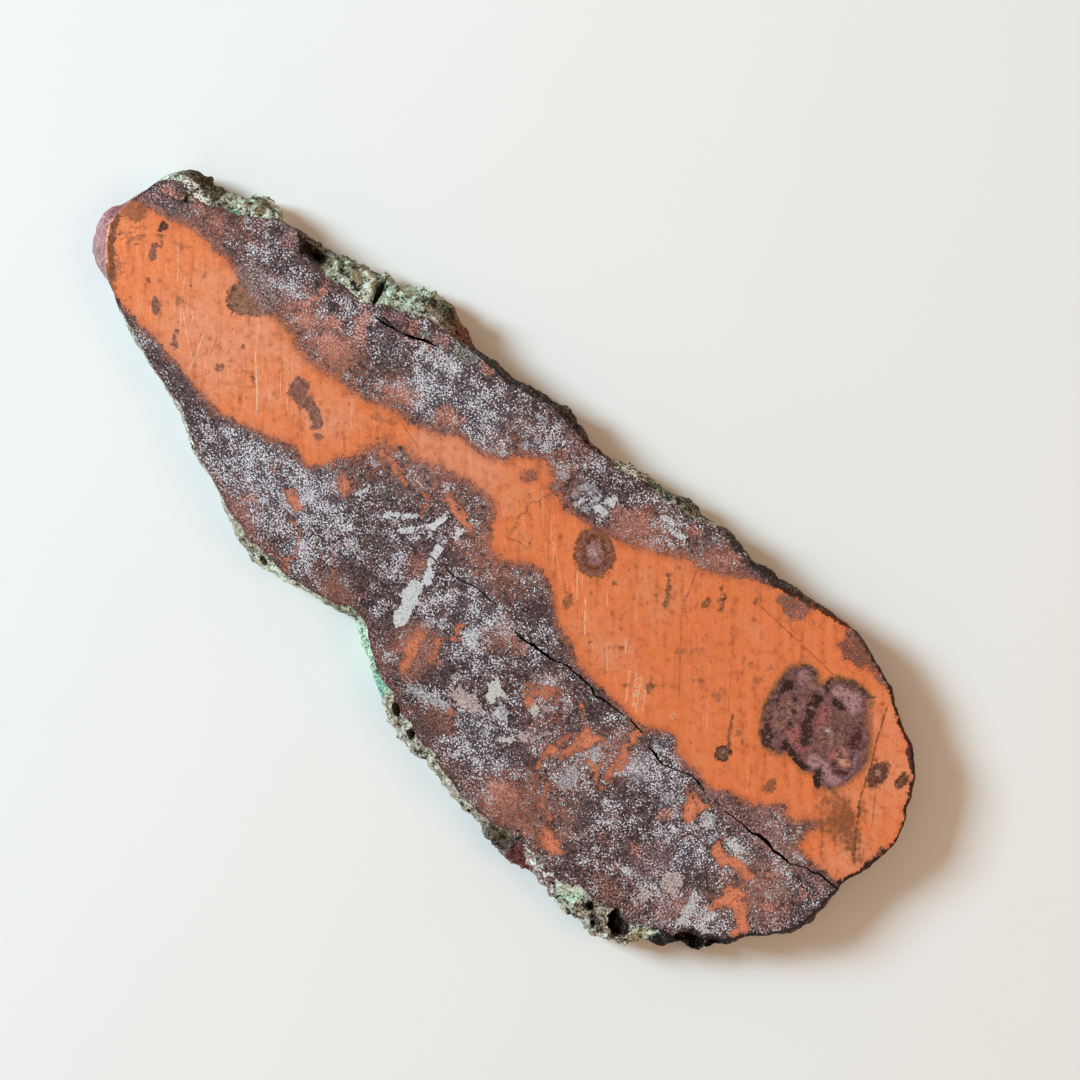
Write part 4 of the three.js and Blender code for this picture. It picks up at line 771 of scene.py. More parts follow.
# Marks within the stains and spots, and short grooves
GROOVE = tint(122, 76, 44)
GLINT = tint(226, 206, 190)
INNER_MARKS = [
    ("stroke", OAK, 0.75, 0.5,
     (0.9, [(-61.6, 5.6), (-61.3, 4.2), (-60.4, 3.1), (-59.2, 2.5), (-58.6, 2.1)])),
    ("spot", MALLOW, 1.0, 0.35, (16.1, 14.3, 3.9, 2.7, -47)),
    ("ring", WINE, 0.55, 0.25, (16.1, 14.3, 2.9, 2.0, -47, 0.45)),
    ("spot", GLINT, 0.9, 0.25, (16.1, 14.3, 0.35, 0.3, 0)),
    ("patch", LAVENDER, 0.95, 0.7,
     [(62.8, 24.6), (63, 27), (65, 27.8), (67.4, 27.8), (68.8, 26), (68.4, 24), (66.4, 24.6), (64.6, 24.2)]),
    ("patch", LAVENDER, 0.9, 0.6,
     [(67.6, 14.6), (70, 15.4), (73, 15), (74.8, 14.8), (74.6, 13.4), (72.6, 12.6), (70, 13), (68.2, 12.2)]),
    ("patch", LAVENDER, 0.6, 0.6, [(55.9, 24.4), (57.6, 25), (59, 24), (58.4, 22), (57.6, 21.6)]),
    ("patch", TAN, 0.7, 0.6,
     [(57.6, 14.6), (57.8, 19.4), (60.6, 20.4), (61.6, 17.6), (61, 14), (59.4, 12.8)]),
    ("stroke", TAN, 0.8, 0.4, (0.9, [(59.4, 23), (60.6, 23.9), (62.6, 24)])),
    ("patch", ROSE, 0.85, 0.6, [(63.2, 22.6), (65.4, 22.6), (66.2, 20.4), (65.2, 18.6), (64.2, 19.6)]),
    ("patch", ROSE, 0.8, 0.5,
     [(61.6, 17), (63, 16.2), (65, 14.8), (67, 15), (66.8, 13.6), (64, 13.4), (61.6, 14)]),
    ("patch", WINE, 0.95, 0.6, [(70.6, 20), (70, 23), (71.6, 24), (73.6, 22.6), (74.6, 20.2), (73, 19.2)]),
    ("patch", ROSE, 0.7, 0.5, [(69.4, 19), (71.4, 19.2), (72.4, 17), (70.6, 15.8), (69, 16.6)]),
    ("stroke", SLATE, 0.85, 0.3, (0.4, [(73.4, 19.8), (74, 19), (74.8, 18.2), (75.1, 16.8), (74.6, 15.2)])),
    ("stroke", WINE, 0.95, 0.3, (0.7, [(71.8, 16), (73, 15.3), (74.1, 15.8), (74.3, 17.6)])),
    ("patch", CHAR, 1.0, 0.3,
     [(55.5, 21.2), (56.6, 21.6), (57.4, 20.6), (57.1, 18.6), (56.4, 18), (55.8, 19.2)]),
    ("stroke", WINE, 0.8, 0.4, (0.6, [(56.6, 18), (56.9, 15.6), (57.8, 13.4)])),
    ("patch", CHAR, 0.95, 0.4,
     [(58, 13.4), (59.6, 13), (61.4, 11.8), (62, 10.4), (60.2, 10.4), (58.6, 11.6)]),
    ("stroke", CHAR, 1.0, 0.3, (1.8, [(61.9, 22.3), (62.4, 20.2)])),
    ("stroke", CHAR, 0.9, 0.3, (1.7, [(62.6, 19.6), (64, 17.3), (65.4, 15.6)])),
    ("stroke", CHAR, 1.0, 0.3, (1.2, [(64.6, 23.7), (66.4, 23.6), (67.2, 23.2)])),
    ("stroke", UMBER, 0.9, 0.35, (1.5, [(66, 22.4), (68.4, 22.6), (69.4, 21.4), (69.9, 19.4)])),
    ("stroke", CHAR, 1.0, 0.3, (1.3, [(63.2, 12.6), (65.8, 12.3)])),
    ("stroke", CHAR, 1.0, 0.3, (1.3, [(66.5, 12.3), (68.4, 11.8)])),
    ("stroke", CHAR, 1.0, 0.3, (1.2, [(70.4, 13.1), (72.2, 11.2)])),
    ("stroke", BLACK_MARK_AND_SHADE, 0.9, 0.35, (0.9, [(61.2, 26.4), (61.7, 25), (62.4, 24.2)])),
    ("stroke", BARK, 0.85, 0.6, (0.9, [(62.2, 27.4), (64, 28.3), (66.4, 28.9), (68.8, 28.6)])),
    ("stroke", OLIVE, 0.7, 0.5, (0.8, [(69.4, 28.2), (71.6, 25.4), (73.6, 23.6)])),
    ("stroke", UMBER, 0.6, 0.6, (1.4, [(70.6, 26.2), (73, 23.4), (75, 20.6)])),
    ("stroke", BARK, 0.6, 0.5, (0.6, [(55.1, 22.6), (54.9, 20), (55.6, 16.6), (56.8, 13.6), (58.2, 11.8)])),
    ("stroke", CHAR, 0.8, 0.4, (0.8, [(58.6, 11.4), (60.4, 10.3), (62, 10.3)])),
    ("stroke", BARK, 0.7, 0.4, (0.6, [(56, 24.8), (57.6, 25.5), (59.4, 24.9)])),
    ("spot", TAN, 0.95, 0.35, (67.2, 18.3, 1.8, 1.9, 0)),
    ("ring", UMBER, 0.8, 0.25, (67.2, 17.8, 0.9, 0.9, 0, 0.4)),
    ("spot", GLINT, 0.95, 0.25, (67, 19.6, 0.32, 0.28, 0)),
    ("patch", CORAL, 0.9, 0.4,
     [(71.4, 17.6), (72.6, 18.3), (74, 18), (73.8, 16.9), (72.8, 16.5), (71.8, 16.8)]),
    ("stroke", CORAL, 0.6, 0.4, (0.7, [(70.6, 19), (72.2, 18.4)])),
    ("spot", BLACK_MARK_AND_SHADE, 0.85, 0.2, (59.2, 19.4, 0.45, 0.4, 0)),
    ("spot", BLACK_MARK_AND_SHADE, 0.85, 0.2, (60.6, 17.6, 0.5, 0.45, 0)),
    ("spot", BLACK_MARK_AND_SHADE, 0.85, 0.2, (58.6, 17, 0.4, 0.35, 0)),
    ("spot", BLACK_MARK_AND_SHADE, 0.85, 0.2, (61.4, 15.8, 0.55, 0.45, 0)),
    ("spot", BLACK_MARK_AND_SHADE, 0.8, 0.2, (59.4, 15.2, 0.35, 0.4, 0)),
    ("spot", BLACK_MARK_AND_SHADE, 0.8, 0.2, (58, 14, 0.35, 0.3, 0)),
    ("spot", WINE, 0.6, 0.5, (78.5, 19.7, 1.6, 2.3, 14)),
    ("spot", GLINT, 0.6, 0.2, (78.5, 19.9, 0.16, 0.16, 0)),
    ("ring", BLACK_MARK_AND_SHADE, 0.8, 0.3, (56.4, 4, 1.15, 1.15, 0, 0.6)),
    ("spot", MALLOW, 0.6, 0.3, (56.4, 4, 0.55, 0.55, 0)),
    ("spot", GLINT, 0.6, 0.2, (56.4, 4, 0.2, 0.2, 0)),
    ("ring", GLINT, 0.6, 0.25, (45.5, 3, 0.5, 0.5, 0, 0.3)),
    ("stroke", GROOVE, 0.85, 0.25, (0.4, [(79.3, 14.3), (82, 10.8), (85.2, 6.3)])),
    ("stroke", GROOVE, 0.4, 0.3, (0.4, [(72.1, 28.4), (74, 24.6), (76.6, 19.5), (79.3, 14.3)])),
]


# Working on meshes

def only(piece):
    """Leaves one piece selected and active."""
    bpy.ops.object.select_all(action="DESELECT")
    piece.select_set(True)
    bpy.context.view_layer.objects.active = piece
    return piece


def apply_modifier(piece, kind, **settings):
    """Adds a modifier with its settings and applies it at once."""
    modifier = piece.modifiers.new(kind.title(), kind)
    for name, value in settings.items():
        setattr(modifier, name, value)
    only(piece)
    bpy.ops.object.modifier_apply(modifier=modifier.name)


def cut(piece, tool, operation):
    """Joins, takes away or keeps the shared part of two closed pieces, and drops the tool."""
    apply_modifier(piece, "BOOLEAN", operation=operation, solver="MANIFOLD", object=tool)
    bpy.data.objects.remove(tool)


def freeze(piece):
    """Puts the place, turn and size of a piece into its mesh."""
    only(piece)
    bpy.ops.object.transform_apply(location=True, rotation=True, scale=True)
    return piece


def face_outward(piece):
    """Turns all of a piece's faces outward."""
    only(piece)
    bpy.ops.object.mode_set(mode="EDIT")
    bpy.ops.mesh.select_all(action="SELECT")
    bpy.ops.mesh.normals_make_consistent(inside=False)
    bpy.ops.object.mode_set(mode="OBJECT")
    return piece


def corners(piece):
    """The mesh's points, in millimetres."""
    points = np.empty(len(piece.data.vertices) * 3, np.float32)
    piece.data.vertices.foreach_get("co", points)
    return points.reshape(-1, 3).astype(float) / MM


def move_corners(piece, points):
    """Moves the mesh's points to places in millimetres."""
    piece.data.vertices.foreach_set("co", (points * MM).astype(np.float32).ravel())
    piece.data.update()


def from_mark(x, y):
    """A drawn place, counted from the slab's middle instead of from the mark."""
    return x - MARK_TO_MIDDLE[0], y - MARK_TO_MIDDLE[1]


def lengths_along(line):
    """How far along a line each of its points is."""
    return np.concatenate([[0], np.cumsum(np.hypot(*np.diff(line, axis=0).T))])


def noise_over(places, grain, layer):
    """Smooth noise at each place. Its grain is in millimetres, and each layer is another noise."""
    return np.array([noise.noise(Vector((x / grain, y / grain, layer))) for x, y in places])


# The uncut nugget

def rim_at_steps():
    """The rim's two lines, sampled at even steps: the face's edge, and the reach out to the skin."""
    stations = np.array(RIM)[::-1]
    ring = np.vstack([stations, stations[:1]])
    along = lengths_along(ring[:, :2])
    steps = np.linspace(0, along[-1], RIM_STEPS, endpoint=False)
    lines = np.stack([np.interp(steps, along, ring[:, k]) for k in range(4)], axis=1)
    edge = lines[:, :2] - MARK_TO_MIDDLE
    return edge, lines[:, 2:] - lines[:, :2]


def bulge(share):
    """How much of its reach the rim stands out at a share of the height."""
    if share >= 1:
        return -0.12 * (share - 1) * THICKNESS
    if share <= 0:
        return 0.75
    return math.sin(math.pi * 0.72 * (1 - share) ** 0.62)


def shape_blank():
    """A round blank with a ring at each height, pushed out to the rim as the nugget had it."""
    tall = THICKNESS + 2 * SAW_SPARE
    bpy.ops.object.select_all(action="DESELECT")
    bpy.ops.mesh.primitive_cylinder_add(
        vertices=RIM_STEPS, radius=50 * MM, depth=tall * MM, location=(0, 0, THICKNESS / 2 * MM)
    )
    blank = freeze(bpy.context.object)
    bpy.ops.object.mode_set(mode="EDIT")
    for height in RING_HEIGHTS:
        bpy.ops.mesh.select_all(action="SELECT")
        bpy.ops.mesh.bisect(plane_co=(0, 0, height * MM), plane_no=(0, 0, 1))
    bpy.ops.object.mode_set(mode="OBJECT")
    edge, reach = rim_at_steps()
    points = corners(blank)
    turn = np.arctan2(points[:, 1], points[:, 0]) / (2 * math.pi) * RIM_STEPS
    step = np.round(turn).astype(int) % RIM_STEPS
    for k, height in enumerate(points[:, 2]):
        points[k, :2] = edge[step[k]] + reach[step[k]] * bulge(height / THICKNESS)
    move_corners(blank, points)
    return face_outward(blank)


def relief_at(spot):
    """The knobs, grains and pits of the weathered outside at a place, from about -1 to 1."""
    knobs = noise.noise(spot / 1.25 + Vector((9, 2, 5)))
    grains = noise.noise(spot / 0.55 + Vector((4, 7, 1)))
    pits = min(0.0, noise.noise(spot / 1.0 + Vector((3, 3, 8))) + 0.28)
    return knobs, grains, pits


def roughen(nugget):
    """Lumps, grains and small pits over the outside of the nugget, larger where it stands out further."""
    edge, reach = rim_at_steps()
    reach = np.hypot(*reach.T)
    points = corners(nugget)
    outward = np.empty(len(points) * 3, np.float32)
    nugget.data.vertex_normals.foreach_get("vector", outward)
    outward = outward.reshape(-1, 3)
    for k in np.nonzero(np.abs(outward[:, 2]) < 0.93)[0]:
        x, y, z = points[k]
        size = min(reach[np.argmin(np.abs(edge[:, 0] - x) + np.abs(edge[:, 1] - y))], 5.0)
        spot = Vector((x, y, z))
        knobs, grains, pits = relief_at(spot)
        bumps = noise.noise(spot / 3.1) * (0.12 + 0.28 * size)
        bumps += knobs * (0.16 + 0.16 * size) + grains * (0.10 + 0.06 * size) + pits * (0.5 + 0.45 * size)
        below = min(1.0, abs(THICKNESS - z) / 1.2 + 0.30)
        if x < SMOOTH_TIP:
            below *= TIP_SHARE
        points[k] += outward[k] * bumps * below
    move_corners(nugget, points)


def hollow_out(nugget):
    """Deep hollows in the rim, each an uneven ball."""
    for (x, y, z), half, turn in HOLLOWS:
        bpy.ops.object.select_all(action="DESELECT")
        x, y = from_mark(x, y)
        bpy.ops.mesh.primitive_ico_sphere_add(subdivisions=4, radius=1, location=(x * MM, y * MM, z * MM))
        ball = bpy.context.object
        for corner in ball.data.vertices:
            corner.co *= 1 + 0.35 * noise.noise(corner.co * 1.7 + Vector((x, y, z)))
        ball.scale = [s * MM for s in half]
        ball.rotation_euler = (0, 0, math.radians(turn))
        cut(nugget, freeze(ball), "DIFFERENCE")


def saw_block(cell, below):
    """A block with an evenly gridded face: the polished one on top, or the underside."""
    long_side, wide_side, deep = SAW_BLOCK
    face = 0.0 if below else THICKNESS
    bpy.ops.object.select_all(action="DESELECT")
    bpy.ops.mesh.primitive_grid_add(
        x_subdivisions=round(long_side / cell), y_subdivisions=round(wide_side / cell), size=1
    )
    block = bpy.context.object
    block.scale = (long_side * MM, wide_side * MM, 1)
    block.location = (0, 0, face * MM)
    freeze(block)
    bpy.ops.object.mode_set(mode="EDIT")
    bpy.ops.mesh.select_all(action="DESELECT")
    bpy.ops.mesh.select_mode(type="EDGE")
    bpy.ops.mesh.select_non_manifold()
    away = deep * MM if below else -deep * MM
    bpy.ops.mesh.extrude_region_move(TRANSFORM_OT_translate={"value": (0, 0, away)})
    bpy.ops.mesh.edge_face_add()
    bpy.ops.object.mode_set(mode="OBJECT")
    return face_outward(block)


def open_crack(slab, width, depth, line):
    """A sliver with a wandering width, sharp at both ends and narrower below, cut out of the slab."""
    line = np.array([from_mark(x, y) for x, y in line])
    along = lengths_along(line)
    count = max(6, round(along[-1] / CRACK_STEP))
    steps = np.linspace(0, along[-1], count + 1)
    middle = np.stack([np.interp(steps, along, line[:, k]) for k in (0, 1)], axis=1)
    drift = np.gradient(middle, axis=0)
    side = np.stack([-drift[:, 1], drift[:, 0]], axis=1) / np.hypot(*drift.T)[:, None]
    wander = noise_over(middle, 0.9, 2.5)
    middle += side * wander[:, None] * 0.16
    half = width / 2 * np.sin(np.linspace(0, math.pi, count + 1)) ** 0.4 * (1 + 0.7 * wander)
    half[[0, -1]] = 0.02
    outline = np.vstack([middle + side * half[:, None], (middle - side * half[:, None])[::-1]])
    bpy.ops.object.select_all(action="DESELECT")
    bpy.ops.mesh.primitive_circle_add(vertices=len(outline), radius=MM, fill_type="NGON")
    sliver = bpy.context.object
    move_corners(sliver, np.column_stack([outline[::-1], np.full(len(outline), THICKNESS + 1)]))
    only(sliver)
    bpy.ops.object.mode_set(mode="EDIT")
    bpy.ops.mesh.select_all(action="SELECT")
    bpy.ops.mesh.extrude_region_move(TRANSFORM_OT_translate={"value": (0, 0, -(depth + 1) * MM)})
    bpy.ops.object.mode_set(mode="OBJECT")
    cut(slab, face_outward(sliver), "DIFFERENCE")


def keep_within(slab):
    """No grain of the rim stands past the slab's own length, width and thickness."""
    low, high = (np.array(corner) / MM for corner in cad_box)
    move_corners(slab, np.clip(corners(slab), low, high))


def drop_crumbs(slab):
    """Leaves the one large body and drops the crumbs that a cut parted from it."""
    only(slab)
    bpy.ops.object.mode_set(mode="EDIT")
    bpy.ops.mesh.separate(type="LOOSE")
    bpy.ops.object.mode_set(mode="OBJECT")
    parts = sorted(bpy.context.selected_objects, key=lambda part: len(part.data.vertices))
    for crumb in parts[:-1]:
        bpy.data.objects.remove(crumb)
    return only(parts[-1])


def make_slab():
    """The nugget as it grew, sawn flat above and below, then cracked."""
    nugget = shape_blank()
    apply_modifier(nugget, "REMESH", mode="VOXEL", voxel_size=CLAY_CELL * MM)
    roughen(nugget)
    hollow_out(nugget)
    cut(nugget, saw_block(POLISHED_CELL, below=False), "INTERSECT")
    cut(nugget, saw_block(UNDERSIDE_CELL, below=True), "INTERSECT")
    for width, depth, line in CRACKS:
        open_crack(nugget, width, depth, line)
    slab = drop_crumbs(nugget)
    keep_within(slab)
    slab.name = slab.data.name = "slab_of_copper_and_rock"
    only(slab)
    bpy.ops.object.shade_smooth_by_angle(angle=math.radians(CREASE))
    return slab


# Where each mineral lies, kept on the slab's points

def reach_from_piece(px, py, start, end):
    """How far each point is, in x and in y, from the nearest place on a straight piece."""
    (ax, ay), (bx, by) = start, end
    dx, dy = bx - ax, by - ay
    share = np.clip(((px - ax) * dx + (py - ay) * dy) / max(dx * dx + dy * dy, 1e-9), 0, 1)
    return px - ax - share * dx, py - ay - share * dy


def gap_to_line(px, py, line, closed=False):
    """The distance from each point to a line of joined straight pieces."""
    line = np.array([from_mark(x, y) for x, y in line])
    ends = np.roll(line, -1, axis=0) if closed else line[1:]
    best = np.full(len(px), 1e9)
    for start, end in zip(line, ends):
        x, y = reach_from_piece(px, py, start, end)
        best = np.minimum(best, x**2 + y**2)
    return np.sqrt(best)


def side_of_lines(px, py, lines):
    """The distance to the nearest of some lines, below 0 on their right, and which line that is."""
    gap = np.full(len(px), 9.0)
    nearest = np.zeros(len(px), int)
    for k, line in enumerate(lines):
        line = [from_mark(x, y) for x, y in line]
        for start, end in zip(line, line[1:]):
            (ax, ay), (bx, by) = start, end
            fresh = np.hypot(*reach_from_piece(px, py, start, end))
            side = np.where((bx - ax) * (py - ay) - (by - ay) * (px - ax) < 0, -1, 1)
            closer = fresh < np.abs(gap)
            gap[closer] = (fresh * side)[closer]
            nearest[closer] = k
    return gap, nearest


def is_within(px, py, outline):
    """Whether each point lies within an outline."""
    outline = np.array([from_mark(x, y) for x, y in outline])
    within = np.zeros(len(px), bool)
    for (ax, ay), (bx, by) in zip(outline, np.roll(outline, -1, axis=0)):
        if ay != by:
            crosses = (ay > py) != (by > py)
            within ^= crosses & (px < (bx - ax) * (py - ay) / (by - ay) + ax)
    return within


def depth_in_patch(px, py, outline):
    """How deep each point lies within an outline, below 0 outside it. Far points aren't measured."""
    drawn = np.array([from_mark(x, y) for x, y in outline])
    low, high = drawn.min(0) - FAR, drawn.max(0) + FAR
    near = (px > low[0]) & (px < high[0]) & (py > low[1]) & (py < high[1])
    depth = np.full(len(px), -FAR)
    gap = gap_to_line(px[near], py[near], outline, closed=True)
    depth[near] = np.where(is_within(px[near], py[near], outline), gap, -gap)
    return depth


def depth_in_mark(px, py, kind, shape):
    """How deep each point lies within one drawn mark, below 0 outside it."""
    if kind == "patch":
        return depth_in_patch(px, py, shape)
    if kind == "stroke":
        width, line = shape
        return width / 2 - gap_to_line(px, py, line)
    x, y, half_x, half_y, turn = shape[:5]
    x, y = from_mark(x, y)
    c, s = math.cos(math.radians(turn)), math.sin(math.radians(turn))
    u = (px - x) * c + (py - y) * s
    v = (py - y) * c - (px - x) * s
    depth = (1 - np.hypot(u / half_x, v / half_y)) * min(half_x, half_y)
    if kind == "ring":
        return shape[5] / 2 - np.abs(depth)
    return depth


def strength_of(px, py, spots):
    """The sum of soft round spots at each point."""
    total = np.zeros(len(px))
    for x, y, reach, strength in spots:
        x, y = from_mark(x, y)
        total += strength * np.exp(-((px - x) ** 2 + (py - y) ** 2) / reach**2)
    return total


def lay_marks(px, py, marks):
    """The uppermost mark at each point: its colour and strength, and how deep the point is in it."""
    depth = np.full(len(px), -KEPT)
    colour = np.tile([0.3, 0.2, 0.15, 0.0], (len(px), 1))
    for kind, tone, strength, fade, shape in marks:
        fresh = np.clip(depth_in_mark(px, py, kind, shape) / fade, -KEPT, KEPT)
        over = (fresh > -1.0) | (fresh > depth)
        over &= fresh > -KEPT
        depth = np.where(over, fresh, depth)
        colour[over] = (*tone, strength)
    return colour, depth


def skin_colours(px, py):
    """The main and second colour of the rim's skin, blended from its named stretches."""
    total = np.full(len(px), 1e-9)
    main = np.zeros((len(px), 4))
    second = np.zeros((len(px), 4))
    for x, y, reach, first_tone, second_tone in SKIN:
        x, y = from_mark(x, y)
        weight = np.exp(-(((px - x) ** 2 + (py - y) ** 2) / (reach * 0.8) ** 2)) + 1e-7
        total += weight
        main += weight[:, None] * np.array((*first_tone, 1))
        second += weight[:, None] * np.array((*second_tone, 1))
    return main / total[:, None], second / total[:, None]


def store(slab, name, values):
    """Keeps a number or a colour on each of the slab's points."""
    if values.ndim == 1:
        numbers = slab.data.attributes.new(name, "FLOAT", "POINT")
        numbers.data.foreach_set("value", values.astype(np.float32))
    else:
        colours = slab.data.attributes.new(name, "FLOAT_COLOR", "POINT")
        colours.data.foreach_set("color", values.astype(np.float32).ravel())


def store_lines(slab, name, px, py, lines):
    """Keeps the distance to the nearest line, with and without its side, and says which line that is."""
    side, nearest = side_of_lines(px, py, lines)
    store(slab, name + "_side", np.clip(side, -KEPT, KEPT))
    store(slab, name + "_gap", np.clip(np.abs(side), 0, KEPT))
    return nearest


def survey_copper(slab, px, py, wave_x, wave_y):
    """Finds how deep each point is in the band, the large spot and all the copper."""
    band = BAND_UPPER + PAST_WIDE_END + BAND_LOWER[::-1] + PAST_NARROW_TIP
    metal = depth_in_patch(px, py, band)
    store(slab, "band", np.clip(metal, -FAR, FAR))
    store(slab, "halo", np.clip(-depth_in_patch(px, py, LARGE_SPOT), -KEPT, KEPT))
    wx, wy = px + wave_x * 1.3, py + wave_y * 1.3
    for island in COPPER_ISLANDS:
        metal = np.maximum(metal, depth_in_patch(wx, wy, island))
    for width, line in COPPER_THREADS:
        metal = np.maximum(metal, width / 2 - gap_to_line(wx, wy, line))
    for rock in ROCK_IN_COPPER:
        metal = np.minimum(metal, -depth_in_patch(wx, wy, rock))
    store(slab, "metal", np.clip(metal, -KEPT, KEPT))


def survey_marks(slab, px, py, wave_x, wave_y):
    """Finds the marks at each point. Each kind of mark wavers by its own amount."""
    for name, marks, waver in (
        ("tone", TONES, 1.2),
        ("crystal", CRYSTALS, 0.7),
        ("stain", STAINS, 0.6),
        ("inner", INNER_MARKS, 0.5),
        ("rim", RIM_MARKS, 0.6),
    ):
        colour, depth = lay_marks(px + wave_x * waver, py + wave_y * waver, marks)
        store(slab, name + "_colour", colour)
        store(slab, name + "_depth", depth)


def survey_spots(slab, px, py):
    """Finds how strong each soft stretch is at each point."""
    for name, spots in (
        ("frayed", FRAYED),
        ("blush", BLUSH),
        ("smudged", SMUDGED),
        ("edge_shadow", EDGE_SHADOW_SPOTS),
        ("speckled", SPECKLED),
        ("warm", WARM),
    ):
        store(slab, name, strength_of(px, py, spots))
    store(slab, "smooth", np.clip(strength_of(px, py, SMOOTH_SKIN), 0, 1))


def survey_lines(slab, px, py):
    """Finds the nearest hairline or crack, scratch and score at each point."""
    store_lines(slab, "crack_line_shade", px, py, HAIRLINES + [line for width, depth, line in CRACKS])
    for name, lines in (("scratch", SCRATCHES), ("score", SCORES)):
        nearest = store_lines(slab, name, px, py, [line for strength, line in lines])
        store(slab, name + "_strength", np.array([strength for strength, line in lines])[nearest])


def survey_rim(slab, points):
    """Finds how far in from the face's edge each point is, its relief and the colours of its skin."""
    x, y = points[:, 0], points[:, 1]
    edge = [station[:2] for station in RIM]
    store(slab, "inward", np.clip(depth_in_patch(x, y, edge), -KEPT, KEPT))
    relief = [relief_at(Vector(point)) for point in points]
    height = [knobs * 0.6 + grains * 0.4 + pits * 1.2 for knobs, grains, pits in relief]
    store(slab, "relief", np.array(height))
    main, second = skin_colours(x, y)
    store(slab, "skin_main", main)
    store(slab, "skin_second", second)


def survey(slab):
    """Finds what lies at each point of the slab. Below the polished face the minerals drift sideways."""
    points = corners(slab)
    flat = points[:, :2]
    deeper = 1 - points[:, 2] / THICKNESS
    px = points[:, 0] + deeper * noise_over(flat, 17, 3.1) * DRIFT
    py = points[:, 1] + deeper * (noise_over(flat, 14, 8.7) * DRIFT + DRIFT_UP)

    # Drawn marks get a wavering outline
    wave_x = noise_over(flat, 1.5, 13.1)
    wave_y = noise_over(flat, 1.5, 27.7)

    survey_copper(slab, px, py, wave_x, wave_y)
    survey_marks(slab, px, py, wave_x, wave_y)
    survey_spots(slab, px, py)
    store(slab, "scuffed", strength_of(points[:, 0], points[:, 1], SCUFFED))
    survey_lines(slab, px, py)
    survey_rim(slab, points)


# Materials

SHEEN = 0.3  # the specular level, lower than usual because the slab shows no glare


class Value:
    """A socket of a shader. Arithmetic on it adds the nodes that work it out."""

    def __init__(self, paint, socket):
        self.paint = paint
        self.socket = socket

    def __add__(self, other):
        return self.paint.math("ADD", self, other)

    def __sub__(self, other):
        return self.paint.math("SUBTRACT", self, other)

    def __rsub__(self, other):
        return self.paint.math("SUBTRACT", other, self)

    def __mul__(self, other):
        return self.paint.math("MULTIPLY", self, other)

    def __truediv__(self, other):
        return self.paint.math("DIVIDE", self, other)

    __radd__ = __add__
    __rmul__ = __mul__


class Paint:
    """A material and the means to build its nodes."""

    def __init__(self, name):
        self.material = bpy.data.materials.new(name)
        self.material.use_nodes = True
        self.tree = self.material.node_tree
        self.tree.nodes.clear()

    def node(self, kind, settings=None, inputs=None, output=0):
        """A node with its settings and its wired or constant inputs, given back as one output."""
        made = self.tree.nodes.new(kind)
        for name, value in (settings or {}).items():
            setattr(made, name, value)
        for key, value in (inputs or {}).items():
            if isinstance(value, Value):
                self.tree.links.new(value.socket, made.inputs[key])
            else:
                made.inputs[key].default_value = value
        return Value(self, made.outputs[output])

    def math(self, operation, first, second=0.0):
        """Arithmetic on one or two values."""
        return self.node("ShaderNodeMath", {"operation": operation}, {0: first, 1: second})

    def least(self, first, second):
        return self.math("MINIMUM", first, second)

    def most(self, first, second):
        return self.math("MAXIMUM", first, second)

    def ramp(self, value, low, high, start=0.0, end=1.0):
        """Goes smoothly from start to end as the value goes from low to high."""
        return self.node(
            "ShaderNodeMapRange",
            {"interpolation_type": "SMOOTHSTEP"},
            {0: value, 1: low, 2: high, 3: start, 4: end},
        )

    def mix(self, share, first, second):
        """Two colours mixed by a share."""
        first, second = ((*c, 1.0) if isinstance(c, tuple) else c for c in (first, second))
        settings = {"data_type": "RGBA", "blend_type": "MIX", "clamp_factor": True}
        return self.node("ShaderNodeMix", settings, {0: share, 6: first, 7: second}, 2)

    def scaled(self, colour, factor):
        """A colour or a place times a number."""
        return self.node("ShaderNodeVectorMath", {"operation": "SCALE"}, {0: colour, "Scale": factor})

    def kept(self, name, output="Fac"):
        """What survey kept on the slab's points under a name."""
        return self.node("ShaderNodeAttribute", {"attribute_name": name}, None, output)

    def grain(self, place, scale, detail, roughness=0.5):
        """A noise from 0 to 1, mostly about a half."""
        values = {"Vector": place, "Scale": scale, "Detail": detail, "Roughness": roughness}
        return self.node("ShaderNodeTexNoise", None, values)

    def cells(self, place, scale):
        """The distance to the nearest of some strewn points."""
        return self.node("ShaderNodeTexVoronoi", {"feature": "F1"}, {"Vector": place, "Scale": scale})

    def thin_line(self, name, half_width, waver):
        """A drawn line no wider than asked, from the distances kept on either side of it."""
        side = self.math("ABSOLUTE", self.kept(name + "_side") + waver)
        across = self.ramp(side, half_width * 0.6, half_width, 1, 0)
        return across * self.ramp(self.kept(name + "_gap"), 0.24, 0.34, 1.0, 0.0)

    def turned(self, place, degrees, scale):
        """The place turned about Z and stretched."""
        values = {"Vector": place, "Rotation": (0, 0, math.radians(degrees)), "Scale": scale}
        return self.node("ShaderNodeMapping", {"vector_type": "TEXTURE"}, values)

    def finish(self, colour, roughness, metallic, bumps):
        """Wires the surface. Bumps are pairs of a height and how deep it is in metres."""
        inputs = {"Base Color": colour, "Roughness": roughness, "Metallic": metallic}
        inputs["Specular IOR Level"] = SHEEN
        normal = None
        for height, depth in bumps:
            values = {"Height": height, "Strength": 1.0, "Distance": depth}
            if normal:
                values["Normal"] = normal
            normal = self.node("ShaderNodeBump", None, values)
        if normal:
            inputs["Normal"] = normal
        surface = self.node("ShaderNodeBsdfPrincipled", None, inputs)
        end = self.tree.nodes.new("ShaderNodeOutputMaterial")
        self.tree.links.new(surface.socket, end.inputs["Surface"])
        return self.material


